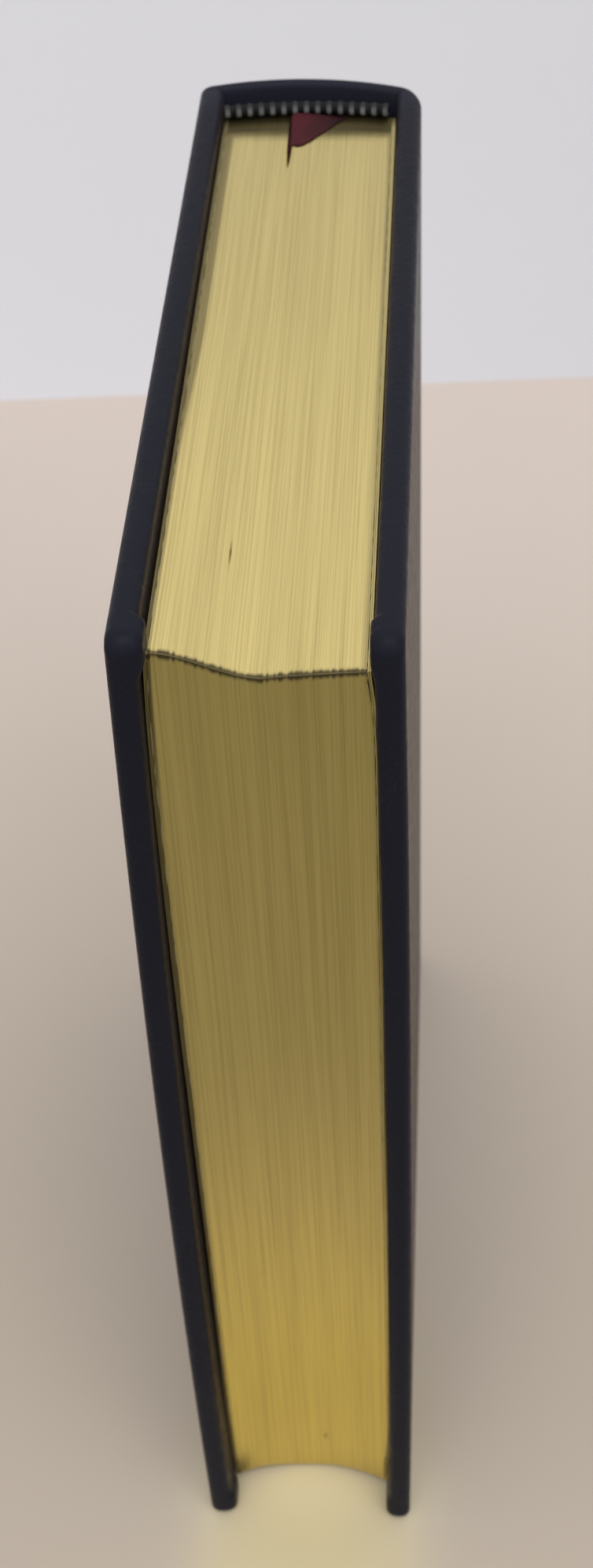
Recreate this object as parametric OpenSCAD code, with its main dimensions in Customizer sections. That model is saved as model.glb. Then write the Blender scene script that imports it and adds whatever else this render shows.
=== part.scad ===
// Leather-bound book with gilt page edges, standing on its tail.
// X runs across the thickness, Y from the fore-edge (-Y) to the spine (+Y), Z up.
// The origin is on the floor, midway across and midway along the case.
// The front cover is on the -X side and the back cover on the +X side.

/* [Case] */
// Height of the covers
case_h = 235; // [200:1:280]
// Depth from the fore-edge of the covers to the back of the spine
case_d = 160.9; // [130:0.1:190]
// Thickness across both covers
case_t = 40.6; // [34:0.2:60]
// Thickness of each binder's board
board_t = 3; // [2:0.1:4]
// Thickness of the leather on the outside of the boards
leather_t = 0.8; // [0.5:0.05:1.1]
// Thickness of the leather turned in over the inside of the boards
turn_in_t = 0.5; // [0.3:0.05:0.9]
// Width of the turned-in leather that shows round each pastedown
turn_in_w = 7; // [5:0.5:12]
// Rounding of the covered board edges
edge_r = 1.6; // [1:0.1:1.9]
// Rounding of the covered board corners, seen from the side
corner_r = 2.8; // [2:0.1:5]
// Height of the leather gathered inside each corner
pleat_h = 9; // [6:0.5:14]
// Clearance between that gathered leather and the pages beside it
pleat_clearance = 0.5; // [0.3:0.1:1]
// How far the gathered leather stands off the turn-in
pleat_t = 0.55; // [0.2:0.05:0.8]

/* [Spine] */
// How far the spine is rounded out behind the covers
spine_round = 4.1; // [2:0.1:8]
// How far the crown of the spine leans from the middle towards the front cover
spine_lean = 2.5; // [0:0.1:4]
// Radius where the spine turns into the front cover
front_shoulder_r = 1.6; // [1.2:0.1:6]
// Radius where the spine turns into the back cover
back_shoulder_r = 6.5; // [1.5:0.1:8]
// Width of the straight leather between the joint and the shoulder of the spine nearest to it
joint_strip = 0.9; // [0.5:0.1:4]
// Gap on each side of that line, where the leather flexes
joint_gap = 0.3; // [0.2:0.05:0.5]
// Thickness of the card inlay that stiffens the spine
inlay_t = 0.8; // [0.5:0.05:1.2]
// Depth of the leather turned in at the head and tail of the spine
cap_turn_in = 14; // [8:1:25]

/* [Pages] */
// Thickness of the block of pages
text_t = 30.1; // [24:0.1:48]
// How far the pages stand below the covers at the head, along the spine
head_square = 3.7; // [3:0.1:6]
// How far the pages stand above the foot of the covers, along the spine
tail_square = 4.4; // [4:0.1:8]
// How far the pages stand behind the covers at the head of the fore-edge
fore_square_head = 3.2; // [3:0.1:6]
// How far the pages stand behind the covers at the tail of the fore-edge
fore_square_tail = 5.6; // [3:0.1:9]
// Extra hollow in the middle of the fore-edge, at the tail
fore_hollow = 3.8; // [0:0.1:6]
// How far the back of the pages stands in front of the back of the spine
back_square = 7.4; // [7:0.1:12]
// Rounding of the back of the pages at the head
head_round = 1.3; // [0.8:0.1:5]
// Rounding of the back of the pages at the tail
tail_round = 3.6; // [0.8:0.1:5]
// How far the first and last leaves have sagged at the fore-edge
sag_least = 1.3; // [0:0.1:1.5]
// How far the leaves in the middle have sagged at the fore-edge
sag_most = 3.7; // [1:0.1:3.9]
// Thickness of each free endpaper
flyleaf_t = 0.3; // [0.2:0.05:0.4]
// Gap that the free endpapers stand open by
flyleaf_gap = 0.3; // [0.2:0.05:0.4]
// Width of the glue line that holds each endpaper at the spine
glue_w = 5; // [3:0.5:8]

/* [Spine lining and bands] */
// Thickness of the cloth and paper lining on the back of the pages
lining_t = 0.6; // [0.4:0.05:1]
// Clearance between the back of the pages and what is glued to it
glue_gap = 0.2; // [0.1:0.05:0.3]
// Radius of the silk wound over the core of each end band
band_r = 1.15; // [0.8:0.05:1.3]
// Thickness of the white windings over the dark silk
band_step = 0.15; // [0.05:0.01:0.2]
// Clearance between the white windings and the dark silk and tape under them
silk_gap = 0.12; // [0.08:0.01:0.15]
// Number of white windings on each end band
band_wraps = 15; // [9:1:21]
// How far the end bands are set over from the middle towards the front cover
band_shift = 0.6; // [0:0.05:0.8]
// Thickness of the tape that carries each end band
tape_t = 0.4; // [0.3:0.05:0.5]
// Depth of that tape down the back of the pages
tape_h = 12; // [8:0.5:16]

/* [Ribbon] */
// Width of the ribbon marker
ribbon_w = 7.5; // [6:0.5:10]
// Thickness of the ribbon
ribbon_t = 0.3; // [0.2:0.05:0.35]
// Distance of the leaf that the ribbon marks from the middle of the pages
ribbon_x = -3.7; // [-8:0.1:0]
// Depth that the ribbon reaches between the leaves
ribbon_drop = 110; // [40:5:120]
// Width of the gap between the leaves where the ribbon lies
ribbon_gap = 0.7; // [0.6:0.05:0.8]
// How far that gap runs on in front of the ribbon
ribbon_parting = 12; // [5:1:20]

/* [Hidden] */
$fn = 64;

// Overrun of every cut past the face that it opens
overrun = 1;
// Rounding of a narrow strip, as a share of its width
round_share = 0.45;

// Case
half_t = case_t / 2;
y_fore = -case_d / 2;
y_back = case_d / 2;

// Spine: one large arc between two shoulders, with the spans of the covers measured from its middle
spine_r = (half_t * half_t + spine_round * spine_round) / (2 * spine_round);
spine_y = y_back - spine_r;
front_span = half_t - spine_lean;
back_span = half_t + spine_lean;
front_turn = shoulder_turn(front_shoulder_r, front_span);
back_turn = shoulder_turn(back_shoulder_r, back_span);
front_shoulder_y = shoulder_y(front_shoulder_r, front_span);
back_shoulder_y = shoulder_y(back_shoulder_r, back_span);
rim_t = leather_t + inlay_t + turn_in_t;
weld_share = 0.75;
// Least distance of the filled-out turn-in from the middle of a tight shoulder, as a share of its radius
fill_share = 0.1;

// Covers
cover_t = leather_t + board_t + turn_in_t;
y_joint = min(front_shoulder_y, back_shoulder_y) - joint_strip - joint_gap;
y_cover_end = y_joint - joint_gap;
cover_w = y_cover_end - y_fore;
cover_in = half_t - cover_t;
pleat_w = fore_square_head - pleat_clearance - edge_r / 2;

// Pages, as shares of the thickness from the front cover to the back cover
slices = 36;
sag_peak_share = 0.47;
sag_last_share = 0.42;
z_head = case_h - head_square;
z_tail = tail_square;
y_text = y_back - back_square;

// Ribbon: it leaves the head band at half a right angle and turns down between two leaves
ribbon_angle = 45;
ribbon_reach = ribbon_w / cos(ribbon_angle);
ribbon_lift = 0.1;
ribbon_back_y = y_text - head_round / 2;
bend_r = ribbon_gap / 2 + ribbon_t / 2 + ribbon_lift;
bend_len = bend_r * PI / 2;
bend_steps = 6;
// Where the flat part of the ribbon starts, short of its pointed corner
tip_share = 0.95;

function smooth(t) = t * t * (3 - 2 * t);
function crown(u) = 1 - pow(2 * u - 1, 2);
function mix(a, b, t) = a + (b - a) * t;
function text_x(u) = (u - 0.5) * text_t;
function text_u(x) = x / text_t + 0.5;

// Share of the full sag for the leaf at u: the leaves glued to the covers hold up their neighbours
function sag_share(u) =
  u < sag_peak_share ? smooth(u / sag_peak_share)
                     : mix(1, sag_last_share, (u - sag_peak_share) / (1 - sag_peak_share));
function sag(u) = mix(sag_least, sag_most, sag_share(u));

// Back edge of the leaf at u, at the head and at the tail
function back_head(u) = y_text - head_round * (1 - crown(u));
function back_tail(u) = y_text - tail_round * (1 - crown(u));
function back_at(u, z) = mix(back_tail(u), back_head(u), (z - z_tail) / (z_head - z_tail));

// The four corners of the leaf at u, as [y, z]: back and front of the tail, front and back of the head
function leaf(u) = [
  [back_tail(u), z_tail],
  [y_fore + fore_square_tail + fore_hollow * crown(u), z_tail - sag(u)],
  [y_fore + fore_square_head, z_head - sag(u)],
  [back_head(u), z_head]
];
// Height of the head edge of the leaf at u, a distance y from the origin
function leaf_top(u, y) =
  let (front = leaf(u)[2], back = leaf(u)[3])
  mix(front[1], back[1], (y - front[0]) / (back[0] - front[0]));

// Places a drawing made in Y and Z so that it reaches from x to x + thickness
module side_on(x, thickness) {
  translate([x, 0, 0]) rotate([90, 0, 90]) linear_extrude(thickness) children();
}

// Solid through a list of closed rings with the same number of points each.
// Seen from the last ring, the points of every ring run clockwise.
module loft(rings) {
  count = len(rings[0]);
  last = len(rings) - 1;
  polyhedron(
    points = [for (ring = rings, point = ring) point],
    faces = concat(
      [[for (k = [count - 1 : -1 : 0]) k]],
      [for (i = [0 : last - 1], k = [0 : count - 1])
        let (a = i * count + k, b = i * count + (k + 1) % count)
        each [[a, b, a + count], [b, b + count, a + count]]],
      [[for (k = [0 : count - 1]) last * count + k]]
    )
  );
}

// Rectangle with round corners
module rounded_rect(low, size, r) {
  translate([low[0] + r, low[1]]) square([size[0] - 2 * r, size[1]]);
  translate([low[0], low[1] + r]) square([size[0], size[1] - 2 * r]);
  for (x = [low[0] + r, low[0] + size[0] - r], y = [low[1] + r, low[1] + size[1] - r])
    translate([x, y]) circle(r);
}

// Side view of a board grown by a margin, its spine edge left square by running it past the joint
module cover_outline(margin, r) {
  rounded_rect([y_fore + margin, margin], [cover_w + 2 * corner_r, case_h - 2 * margin], r);
}

// One covered board as a solid, on the front side
module cover_form() {
  intersection() {
    translate([0, y_cover_end, 0]) rotate([90, 0, 0])
      linear_extrude(cover_w) rounded_rect([-half_t, 0], [cover_t, case_h], edge_r);
    linear_extrude(case_h)
      rounded_rect([-half_t, y_fore], [cover_t, cover_w + 2 * edge_r], edge_r);
    side_on(-half_t, cover_t) cover_outline(0, corner_r);
  }
}

// Board inside the leather, on the front side
module board_form() {
  intersection() {
    side_on(-half_t + leather_t, board_t) cover_outline(leather_t, corner_r - leather_t);
    translate([-half_t, y_fore, 0]) cube([cover_t, cover_w, case_h]);
  }
}

// Paper pasted over the inside of the board between the turn-ins, on the front side
module pastedown_form() {
  translate([-cover_in - turn_in_t, y_fore + turn_in_w, turn_in_w])
    cube([turn_in_t, cover_w - turn_in_w, case_h - 2 * turn_in_w]);
}

// Leather gathered on the inside of one corner, at the head or the tail
module corner_pleat(z) {
  side_on(-cover_in - turn_in_t / 2, turn_in_t / 2 + pleat_t)
    intersection() {
      rounded_rect([y_fore + edge_r / 2, z], [pleat_w, pleat_h], pleat_w * round_share);
      cover_outline(edge_r / 2, corner_r - edge_r / 2);
    }
}

// Leather of one cover: wrapped over the board and turned in on three sides
module cover_leather_form() {
  difference() {
    cover_form();
    board_form();
    pastedown_form();
  }
  corner_pleat(case_h - edge_r / 2 - pleat_h);
  corner_pleat(edge_r / 2);
}

module back_side() {
  mirror([1, 0, 0]) children();
}

// Radial section of the spine leather, turned in over the inlay at the head and tail
module spine_section() {
  cap_r = rim_t * round_share;
  difference() {
    rounded_rect([spine_r - rim_t, 0], [rim_t, case_h], cap_r);
    translate([spine_r - rim_t + turn_in_t, rim_t])
      square([inlay_t, case_h - 2 * rim_t]);
    translate([spine_r - rim_t - overrun, cap_turn_in])
      square([overrun + turn_in_t + inlay_t / 2, case_h - 2 * cap_turn_in]);
  }
}

// Section of the leather at a shoulder, reaching in from radius r
module shoulder_section(r) {
  rounded_rect([r - leather_t, 0], [leather_t, case_h], leather_t * round_share);
  fill_out = r - leather_t / 2;
  fill_in = max(r - cover_t + joint_gap, fill_out * fill_share);
  fill_drop = leather_t * round_share;
  for (z = [fill_drop, case_h - cap_turn_in])
    translate([fill_in, z]) square([fill_out - fill_in, cap_turn_in - fill_drop]);
}

// How far a shoulder of radius r turns away from the middle of the spine, and where its own middle lies
function shoulder_turn(r, span) = asin((span - r) / (spine_r - r));
function shoulder_y(r, span) = spine_y + sqrt(pow(spine_r - r, 2) - pow(span - r, 2));

// Shoulder on the back-cover side, with the straight strip down to the joint, drawn from the spine's middle.
// A strip inside the leather runs across the line where it meets the middle of the spine.
module shoulder(r, span) {
  turn = shoulder_turn(r, span);
  y = shoulder_y(r, span);
  translate([0, spine_y, 0]) rotate(90 - turn)
    translate([spine_r - leather_t * weld_share, -leather_t / 2, rim_t])
      cube([leather_t / 2, leather_t, case_h - 2 * rim_t]);
  translate([span - r, y, 0])
    rotate_extrude(angle = 90 - turn) shoulder_section(r);
  translate([0, y, 0]) rotate([90, 0, 0])
    linear_extrude(y - y_joint - joint_gap) shoulder_section(span);
}

// Carries a radial section round the spine from one shoulder to the other
module round_spine() {
  translate([0, spine_y, 0]) rotate(90 - back_turn)
    rotate_extrude(angle = back_turn + front_turn) children();
}

module spine_leather() {
  color("#23232b") translate([-spine_lean, 0, 0]) union() {
    round_spine() spine_section();
    shoulder(back_shoulder_r, back_span);
    back_side() shoulder(front_shoulder_r, front_span);
  }
}

module spine_inlay() {
  color("#a08f74") translate([-spine_lean, 0, 0]) round_spine()
    translate([spine_r - leather_t - inlay_t, rim_t])
      square([inlay_t, case_h - 2 * rim_t]);
}

module front_board() {
  color("#8a7f70") board_form();
}
module back_board() {
  color("#8a7f70") back_side() board_form();
}
module front_cover_leather() {
  color("#23232b") cover_leather_form();
}
module back_cover_leather() {
  color("#23232b") back_side() cover_leather_form();
}
module front_pastedown() {
  color("#e6dcc4") pastedown_form();
}
module back_pastedown() {
  color("#e6dcc4") back_side() pastedown_form();
}

// Gap between two leaves that the ribbon lies in, open at the head
module ribbon_slot() {
  mouth_back = ribbon_back_y + ribbon_gap / 2;
  mouth_front = ribbon_back_y - ribbon_reach - 2 * ribbon_gap;
  depth = ribbon_drop + 2 * ribbon_gap;
  side_on(ribbon_x - ribbon_gap / 2, ribbon_gap)
    polygon([
      [mouth_back, z_head + overrun], [mouth_front, z_head + overrun],
      [mouth_front, z_head],
      [mouth_front - depth, z_head - depth],
      [mouth_back - depth, z_head - depth],
      [mouth_back, z_head]
    ]);
  translate([0, 0, z_head - ribbon_parting])
    linear_extrude(ribbon_parting + overrun)
      polygon([
        [ribbon_x - ribbon_gap / 2, mouth_front + ribbon_gap],
        [ribbon_x, mouth_front - ribbon_parting],
        [ribbon_x + ribbon_gap / 2, mouth_front + ribbon_gap]
      ]);
}

module text_block() {
  color("#d3b264") difference() {
    loft([for (i = [0 : slices])
      let (u = i / slices) [for (p = leaf(u)) [text_x(u), p[0], p[1]]]]);
    ribbon_slot();
  }
}

// Free endpaper on the side that the sign gives, with the outline that a leaf would have there
module flyleaf(side) {
  near = side * text_t / 2;
  far = near + side * flyleaf_gap;
  outline = leaf(text_u(far + side * flyleaf_t));
  side_on(min(far, far + side * flyleaf_t), flyleaf_t) polygon(outline);
  side_on(min(near, far), flyleaf_gap)
    polygon([
      outline[0], [outline[0][0] - glue_w, outline[0][1]],
      [outline[3][0] - glue_w, outline[3][1]], outline[3]
    ]);
}
module front_flyleaf() {
  color("#e6dcc4") flyleaf(-1);
}
module back_flyleaf() {
  color("#e6dcc4") flyleaf(1);
}

// Cloth and paper lining over the back of the pages, between the tapes of the two end bands
module spine_lining() {
  low = z_tail + tape_h + glue_gap;
  high = z_head - tape_h - glue_gap;
  color("#cfc6b4") loft([for (i = [0 : slices])
    let (
      u = i / slices, x = text_x(u),
      y_low = back_at(u, low) + glue_gap, y_high = back_at(u, high) + glue_gap
    )
    [[x, y_low + lining_t, low], [x, y_low, low], [x, y_high, high], [x, y_high + lining_t, high]]]);
}

// Radius and centre of the arc that an end band follows round the back of the pages
function band_arc(rise) = (text_t * text_t / 4 + rise * rise) / (2 * rise);
function band_turn(r) = 2 * asin(text_t / 2 / r);
function band_over(r) = asin(band_shift / r);

// Places children on the arc of an end band, as a section whose origin is the top edge of the pages
module along_band(rise, from_share, to_share) {
  r = band_arc(rise);
  turn = band_turn(r);
  translate([0, y_text - r, 0])
    rotate(90 + band_over(r) - turn / 2 + turn * from_share)
      rotate_extrude(angle = turn * (to_share - from_share))
        translate([r + glue_gap, 0]) children();
}
module band_core(r) {
  translate([tape_t - band_r, ribbon_t + 2 * ribbon_lift + band_r]) circle(r);
}
module band_tape(margin) {
  translate([-margin, -tape_h])
    square([tape_t + margin, tape_h + ribbon_t + 2 * ribbon_lift + band_r + margin]);
}

// Windings along the band, with a white one at each end
band_steps = 2 * band_wraps - 1;

// Tape and core in dark silk, drawn with the edge of the pages at height 0 and the band above it
module dark_band(rise) {
  along_band(rise, 0, 1) union() {
    band_core(band_r - band_step - silk_gap);
    band_tape(0);
  }
}
module white_silk(rise) {
  for (i = [0 : 2 : band_steps - 1])
    along_band(rise, i / band_steps, (i + 1) / band_steps) difference() {
      band_core(band_r);
      band_core(band_r - band_step);
      band_tape(silk_gap);
    }
}
module at_head() {
  translate([0, 0, z_head]) children();
}
module at_tail() {
  translate([0, 0, z_tail]) mirror([0, 0, 1]) children();
}
module head_band() {
  color("#2b2b30") at_head() dark_band(head_round);
}
module head_band_white_silk() {
  color("#d8d6d2") at_head() white_silk(head_round);
}
module tail_band() {
  color("#2b2b30") at_tail() dark_band(tail_round);
}
module tail_band_white_silk() {
  color("#d8d6d2") at_tail() white_silk(tail_round);
}

// The ribbon is followed in rows parallel to the gap, so that every row stays straight.
// p is a row's distance from the line where the ribbon starts to bend down, less than 0 past it.
function ribbon_turn(p) = p >= 0 ? 0 : min(90, -p / bend_len * 90);
function ribbon_front(p) = ribbon_back_y - ribbon_reach + p;
function ribbon_rear(p) = ribbon_back_y + min(p, 0);
// Point of the ribbon at row p and depth y, offset by side towards its upper face
function ribbon_point(p, y, side) =
  let (
    turn = ribbon_turn(p), r = bend_r + side,
    x = ribbon_x + bend_r + max(p, 0),
    top = leaf_top(text_u(x), y - min(p, 0)) + ribbon_lift + ribbon_t / 2,
    fall = max(0, -p - bend_len)
  )
  [x - r * sin(turn), y, top - bend_r + r * cos(turn) - fall];
function ribbon_ring(p) = [
  ribbon_point(p, ribbon_front(p), -ribbon_t / 2), ribbon_point(p, ribbon_rear(p), -ribbon_t / 2),
  ribbon_point(p, ribbon_rear(p), ribbon_t / 2), ribbon_point(p, ribbon_front(p), ribbon_t / 2)
];
ribbon_rows = concat(
  [ribbon_reach * tip_share, ribbon_reach / 2],
  [for (i = [0 : bend_steps]) -bend_len * i / bend_steps],
  [-ribbon_drop]
);

module ribbon_marker() {
  color("#5a2530") loft([for (p = ribbon_rows) ribbon_ring(p)]);
}

text_block();
front_flyleaf();
back_flyleaf();
spine_lining();
head_band();
head_band_white_silk();
tail_band();
tail_band_white_silk();
ribbon_marker();
spine_leather();
spine_inlay();
front_board();
front_cover_leather();
front_pastedown();
back_board();
back_cover_leather();
back_pastedown();
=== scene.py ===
"""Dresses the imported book: gilt pages, leather case, end bands, ribbon, endpapers and a plain stage."""

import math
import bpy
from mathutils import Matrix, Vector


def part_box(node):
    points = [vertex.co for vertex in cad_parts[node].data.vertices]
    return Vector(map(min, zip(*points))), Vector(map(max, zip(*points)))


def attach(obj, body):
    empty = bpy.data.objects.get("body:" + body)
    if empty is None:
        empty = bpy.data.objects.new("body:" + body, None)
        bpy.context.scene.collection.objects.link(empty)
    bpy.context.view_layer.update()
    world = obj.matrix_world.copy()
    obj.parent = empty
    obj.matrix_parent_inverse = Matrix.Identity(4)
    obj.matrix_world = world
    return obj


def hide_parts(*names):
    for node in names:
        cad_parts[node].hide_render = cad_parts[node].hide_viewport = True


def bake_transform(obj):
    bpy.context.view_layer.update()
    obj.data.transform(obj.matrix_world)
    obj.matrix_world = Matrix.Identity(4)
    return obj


bl_info = {
    "name": "Gilt-edged leather book",
    "version": (1, 0, 0),
    "blender": (4, 5, 0),
    "location": "View3D > Sidebar > Book",
    "description": "Builds the visible surfaces of a leather-bound book round its packed solids",
    "category": "Object",
}

import bmesh
import bpy
import numpy as np
from bpy.props import FloatProperty, FloatVectorProperty, IntProperty, PointerProperty
from bpy.types import Operator, Panel, PropertyGroup
from mathutils import Matrix, Vector

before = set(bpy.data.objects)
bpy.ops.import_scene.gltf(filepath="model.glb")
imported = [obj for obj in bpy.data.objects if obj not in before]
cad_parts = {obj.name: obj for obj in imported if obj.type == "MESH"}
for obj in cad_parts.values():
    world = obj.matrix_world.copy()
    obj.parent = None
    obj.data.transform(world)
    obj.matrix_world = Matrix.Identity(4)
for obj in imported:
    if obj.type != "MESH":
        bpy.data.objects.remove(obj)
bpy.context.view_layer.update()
MM = 0.001


def node_box(name):
    """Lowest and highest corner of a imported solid, in millimetres."""
    low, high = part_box(name)
    return np.array(low) / MM, np.array(high) / MM


COVER_LOW, COVER_HIGH = node_box("front_cover_leather")
BLOCK_LOW, BLOCK_HIGH = node_box("text_block")
SPINE_HIGH = node_box("spine_leather")[1]
BOARD_LOW, BOARD_HIGH = node_box("front_board")

# Sizes shared by several pieces, in millimetres, most of them read from the solids
CASE_H = COVER_HIGH[2]
HALF_T = SPINE_HIGH[0]
Y_FORE = COVER_LOW[1]
Y_BACK = SPINE_HIGH[1]
COVER_END = COVER_HIGH[1]
COVER_T = 4.3
COVER_IN = HALF_T - COVER_T
TEXT_T = BLOCK_HIGH[0] - BLOCK_LOW[0]
Y_TEXT = BLOCK_HIGH[1]
Z_HEAD = BLOCK_HIGH[2]
TAIL_SAG = (1.3, 3.7)
Z_TAIL = BLOCK_LOW[2] + TAIL_SAG[1]
HEAD_ROUND = 1.3
TAIL_ROUND = 3.6
FORE_HEAD = 3.2
FORE_TAIL = 8.0
FORE_HOLLOW = 3.9
RIBBON_X = -3.2


class PageSettings(PropertyGroup):
    """What a user would change on the block of pages."""

    leaves: IntProperty(
        name="Leaf lines", description="Columns of the page edges", default=300, min=60, max=400
    )
    gold: FloatVectorProperty(
        name="Gold", description="Gilding where it is clean", subtype="COLOR",
        default=(0.745, 0.613, 0.258), min=0, max=1,
    )
    # Painted reflection: warmer gold near the tail, for the warm floor that the fore-edge mirrors
    foot_reflection_gold: FloatVectorProperty(
        name="Gold at the foot", description="Clean gilding near the tail, which is warmer", subtype="COLOR",
        default=(0.735, 0.60, 0.19), min=0, max=1,
    )
    dull_gold: FloatVectorProperty(
        name="Dull gold", description="Gilding between the leaves", subtype="COLOR",
        default=(0.48, 0.375, 0.15), min=0, max=1,
    )
    # Colour of the brown marks on the gilding, which are partly stains and partly painted shade
    stains_and_shade: FloatVectorProperty(
        name="Tarnish", description="Brown rub marks on the gilding", subtype="COLOR",
        default=(0.072, 0.057, 0.030), min=0, max=1,
    )
    relief: FloatProperty(
        name="Relief", description="Unevenness of the leaves, in millimetres", default=0.022, min=0, max=0.3
    )


class LeatherSettings(PropertyGroup):
    """What a user would change on the leather case."""

    colour: FloatVectorProperty(
        name="Leather", description="Blue-black dye of the leather", subtype="COLOR",
        default=(0.0134, 0.0136, 0.0210), min=0, max=1,
    )
    wear_and_shade: FloatVectorProperty(
        name="Rubbed leather", description="Colour of the grain's rubbed tops", subtype="COLOR",
        default=(0.022, 0.0222, 0.030), min=0, max=1,
    )
    # Painted light: the spine's leather is made paler to lift the shade on its rim
    painted_spine_light: FloatProperty(
        name="Spine fading", description="How much paler the spine's leather is", default=1.5, min=1, max=5
    )
    front_bow: FloatProperty(
        name="Front bow", description="Outward bow of the front cover's fore-edge, in millimetres",
        default=1.1, min=0, max=2,
    )
    back_bow: FloatProperty(
        name="Back bow", description="Outward bow of the back cover's fore-edge, in millimetres",
        default=0.6, min=0, max=2,
    )


class TrimSettings(PropertyGroup):
    """What a user would change on the end bands, ribbon and endpapers."""

    wraps: IntProperty(
        name="White windings", description="White windings on each band", default=15, min=5, max=25
    )
    dark_silk: FloatVectorProperty(
        name="Dark silk", description="Dark windings", subtype="COLOR",
        default=(0.009, 0.008, 0.009), min=0, max=1,
    )
    # The white silk's grey is painted shade: the windings lie in the shade of the spine's rim
    white_silk: FloatVectorProperty(
        name="White silk", description="White windings", subtype="COLOR",
        default=(0.19, 0.19, 0.195), min=0, max=1,
    )
    ribbon: FloatVectorProperty(
        name="Ribbon", description="Satin of the ribbon", subtype="COLOR",
        default=(0.075, 0.009, 0.014), min=0, max=1,
    )
    endpaper: FloatVectorProperty(
        name="Endpaper", description="Paper inside the covers", subtype="COLOR",
        default=(0.66, 0.58, 0.44), min=0, max=1,
    )
    # Painted shade: dark brown for the endpaper where it lies in shade beside the turn-ins
    paste_shade: FloatVectorProperty(
        name="Browned endpaper", description="Paper that the leather's dye has browned", subtype="COLOR",
        default=(0.035, 0.026, 0.020), min=0, max=1,
    )


class StageSettings(PropertyGroup):
    """Floor, wall and light."""

    floor_far: FloatVectorProperty(
        name="Far floor", description="Pale floor by the wall", subtype="COLOR",
        default=(0.72, 0.62, 0.55), min=0, max=1,
    )
    floor_near: FloatVectorProperty(
        name="Near floor", description="Floor in front of the book", subtype="COLOR",
        default=(0.52, 0.44, 0.36), min=0, max=1,
    )
    wall: FloatVectorProperty(
        name="Wall", description="Pale wall", subtype="COLOR", default=(0.80, 0.81, 0.865), min=0, max=1
    )
    sky: FloatProperty(name="Room light", description="Even light of the room", default=0.75, min=0, max=3)
    lamp: FloatProperty(
        name="Lamp", description="Soft lamp above the viewer, in watts", default=12, min=0, max=100
    )
    lens: FloatProperty(
        name="Lens", description="Focal length, in millimetres", default=51.708, min=10, max=200
    )
    aperture: FloatProperty(
        name="Aperture", description="F-number of the lens, which is focused on the pages' near top edge",
        default=37, min=2, max=200,
    )


# Meshes

def grid_quads(rows, columns, close_rows, close_columns):
    """Corner indices of the quads of a grid, row by row, with either direction closed on itself."""
    i = np.arange(rows if close_rows else rows - 1)[:, None]
    j = np.arange(columns if close_columns else columns - 1)[None, :]
    i2 = (i + 1) % rows
    j2 = (j + 1) % columns
    quads = np.stack([i * columns + j, i * columns + j2, i2 * columns + j2, i2 * columns + j], axis=-1)
    return quads.reshape(-1, 4)


def build_piece(name, sheets, material, weld=0.0004, marks=None, crease=None):
    """One object from grids of points in millimetres.

    Each sheet is (points[rows, columns, 3], close_rows, close_columns). marks gives float attributes, one
    array per sheet. Points that meet are welded, the faces turned outwards, and edges sharper than crease
    degrees kept.
    """
    points = np.concatenate([s[0].reshape(-1, 3) for s in sheets]) * MM
    quads, uv, start = [], [], 0
    for grid, close_rows, close_columns in sheets:
        rows, columns = grid.shape[:2]
        quads.append(grid_quads(rows, columns, close_rows, close_columns) + start)
        u, v = np.meshgrid(np.linspace(0, 1, columns), np.linspace(0, 1, rows))
        uv.append(np.stack([u, v], axis=-1).reshape(-1, 2))
        start += rows * columns
    quads = np.concatenate(quads)
    uv = np.concatenate(uv)
    mesh = bpy.data.meshes.new(name)
    mesh.vertices.add(len(points))
    mesh.vertices.foreach_set("co", points.astype(np.float32).ravel())
    mesh.loops.add(quads.size)
    mesh.loops.foreach_set("vertex_index", quads.astype(np.int32).ravel())
    mesh.polygons.add(len(quads))
    mesh.polygons.foreach_set("loop_start", np.arange(0, quads.size, 4, dtype=np.int32))
    mesh.uv_layers.new(name="UVMap").data.foreach_set("uv", uv[quads.ravel()].astype(np.float32).ravel())
    for mark, parts in (marks or {}).items():
        values = np.concatenate([np.broadcast_to(p, s[0].shape[:2]).ravel() for p, s in zip(parts, sheets)])
        mesh.attributes.new(mark, "FLOAT", "POINT").data.foreach_set("value", values.astype(np.float32))
    mesh.update(calc_edges=True)
    work = bmesh.new()
    work.from_mesh(mesh)
    bmesh.ops.remove_doubles(work, verts=work.verts, dist=weld * MM)
    bmesh.ops.dissolve_degenerate(work, edges=work.edges, dist=1e-8)
    bmesh.ops.recalc_face_normals(work, faces=work.faces)
    work.to_mesh(mesh)
    work.free()
    mesh.polygons.foreach_set("use_smooth", np.ones(len(mesh.polygons), dtype=bool))
    if crease:
        mesh.set_sharp_from_angle(angle=math.radians(crease))
    mesh.update()
    mesh.materials.append(material)
    piece = bpy.data.objects.new(name, mesh)
    bpy.context.scene.collection.objects.link(piece)
    return piece


def settle(piece, body, slot, *nodes):
    """Puts a piece on its body and hides the solids that it stands for."""
    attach(piece, body)
    if nodes:
        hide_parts(*nodes)
    return piece


def closed_sheet(near, far):
    """Grids of a thin closed sheet: its two faces and the four strips round its edge."""
    rim = [
        (np.stack([near[pick], far[pick]], axis=0), False, False)
        for pick in (np.s_[0, :], np.s_[-1, :], np.s_[:, 0], np.s_[:, -1])
    ]
    return [(near, False, False), (far, False, False)] + rim


def capped(ring):
    """Fan of quads that closes a ring of points at its middle."""
    share = np.array([0, 1])[:, None, None]
    return ring[None] * (1 - share) + ring.mean(axis=0)[None, None] * share, False, True


def mirrored(points, flip):
    """The same points on the back cover's side."""
    return points * np.array([-1, 1, 1]) if flip else points


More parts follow.
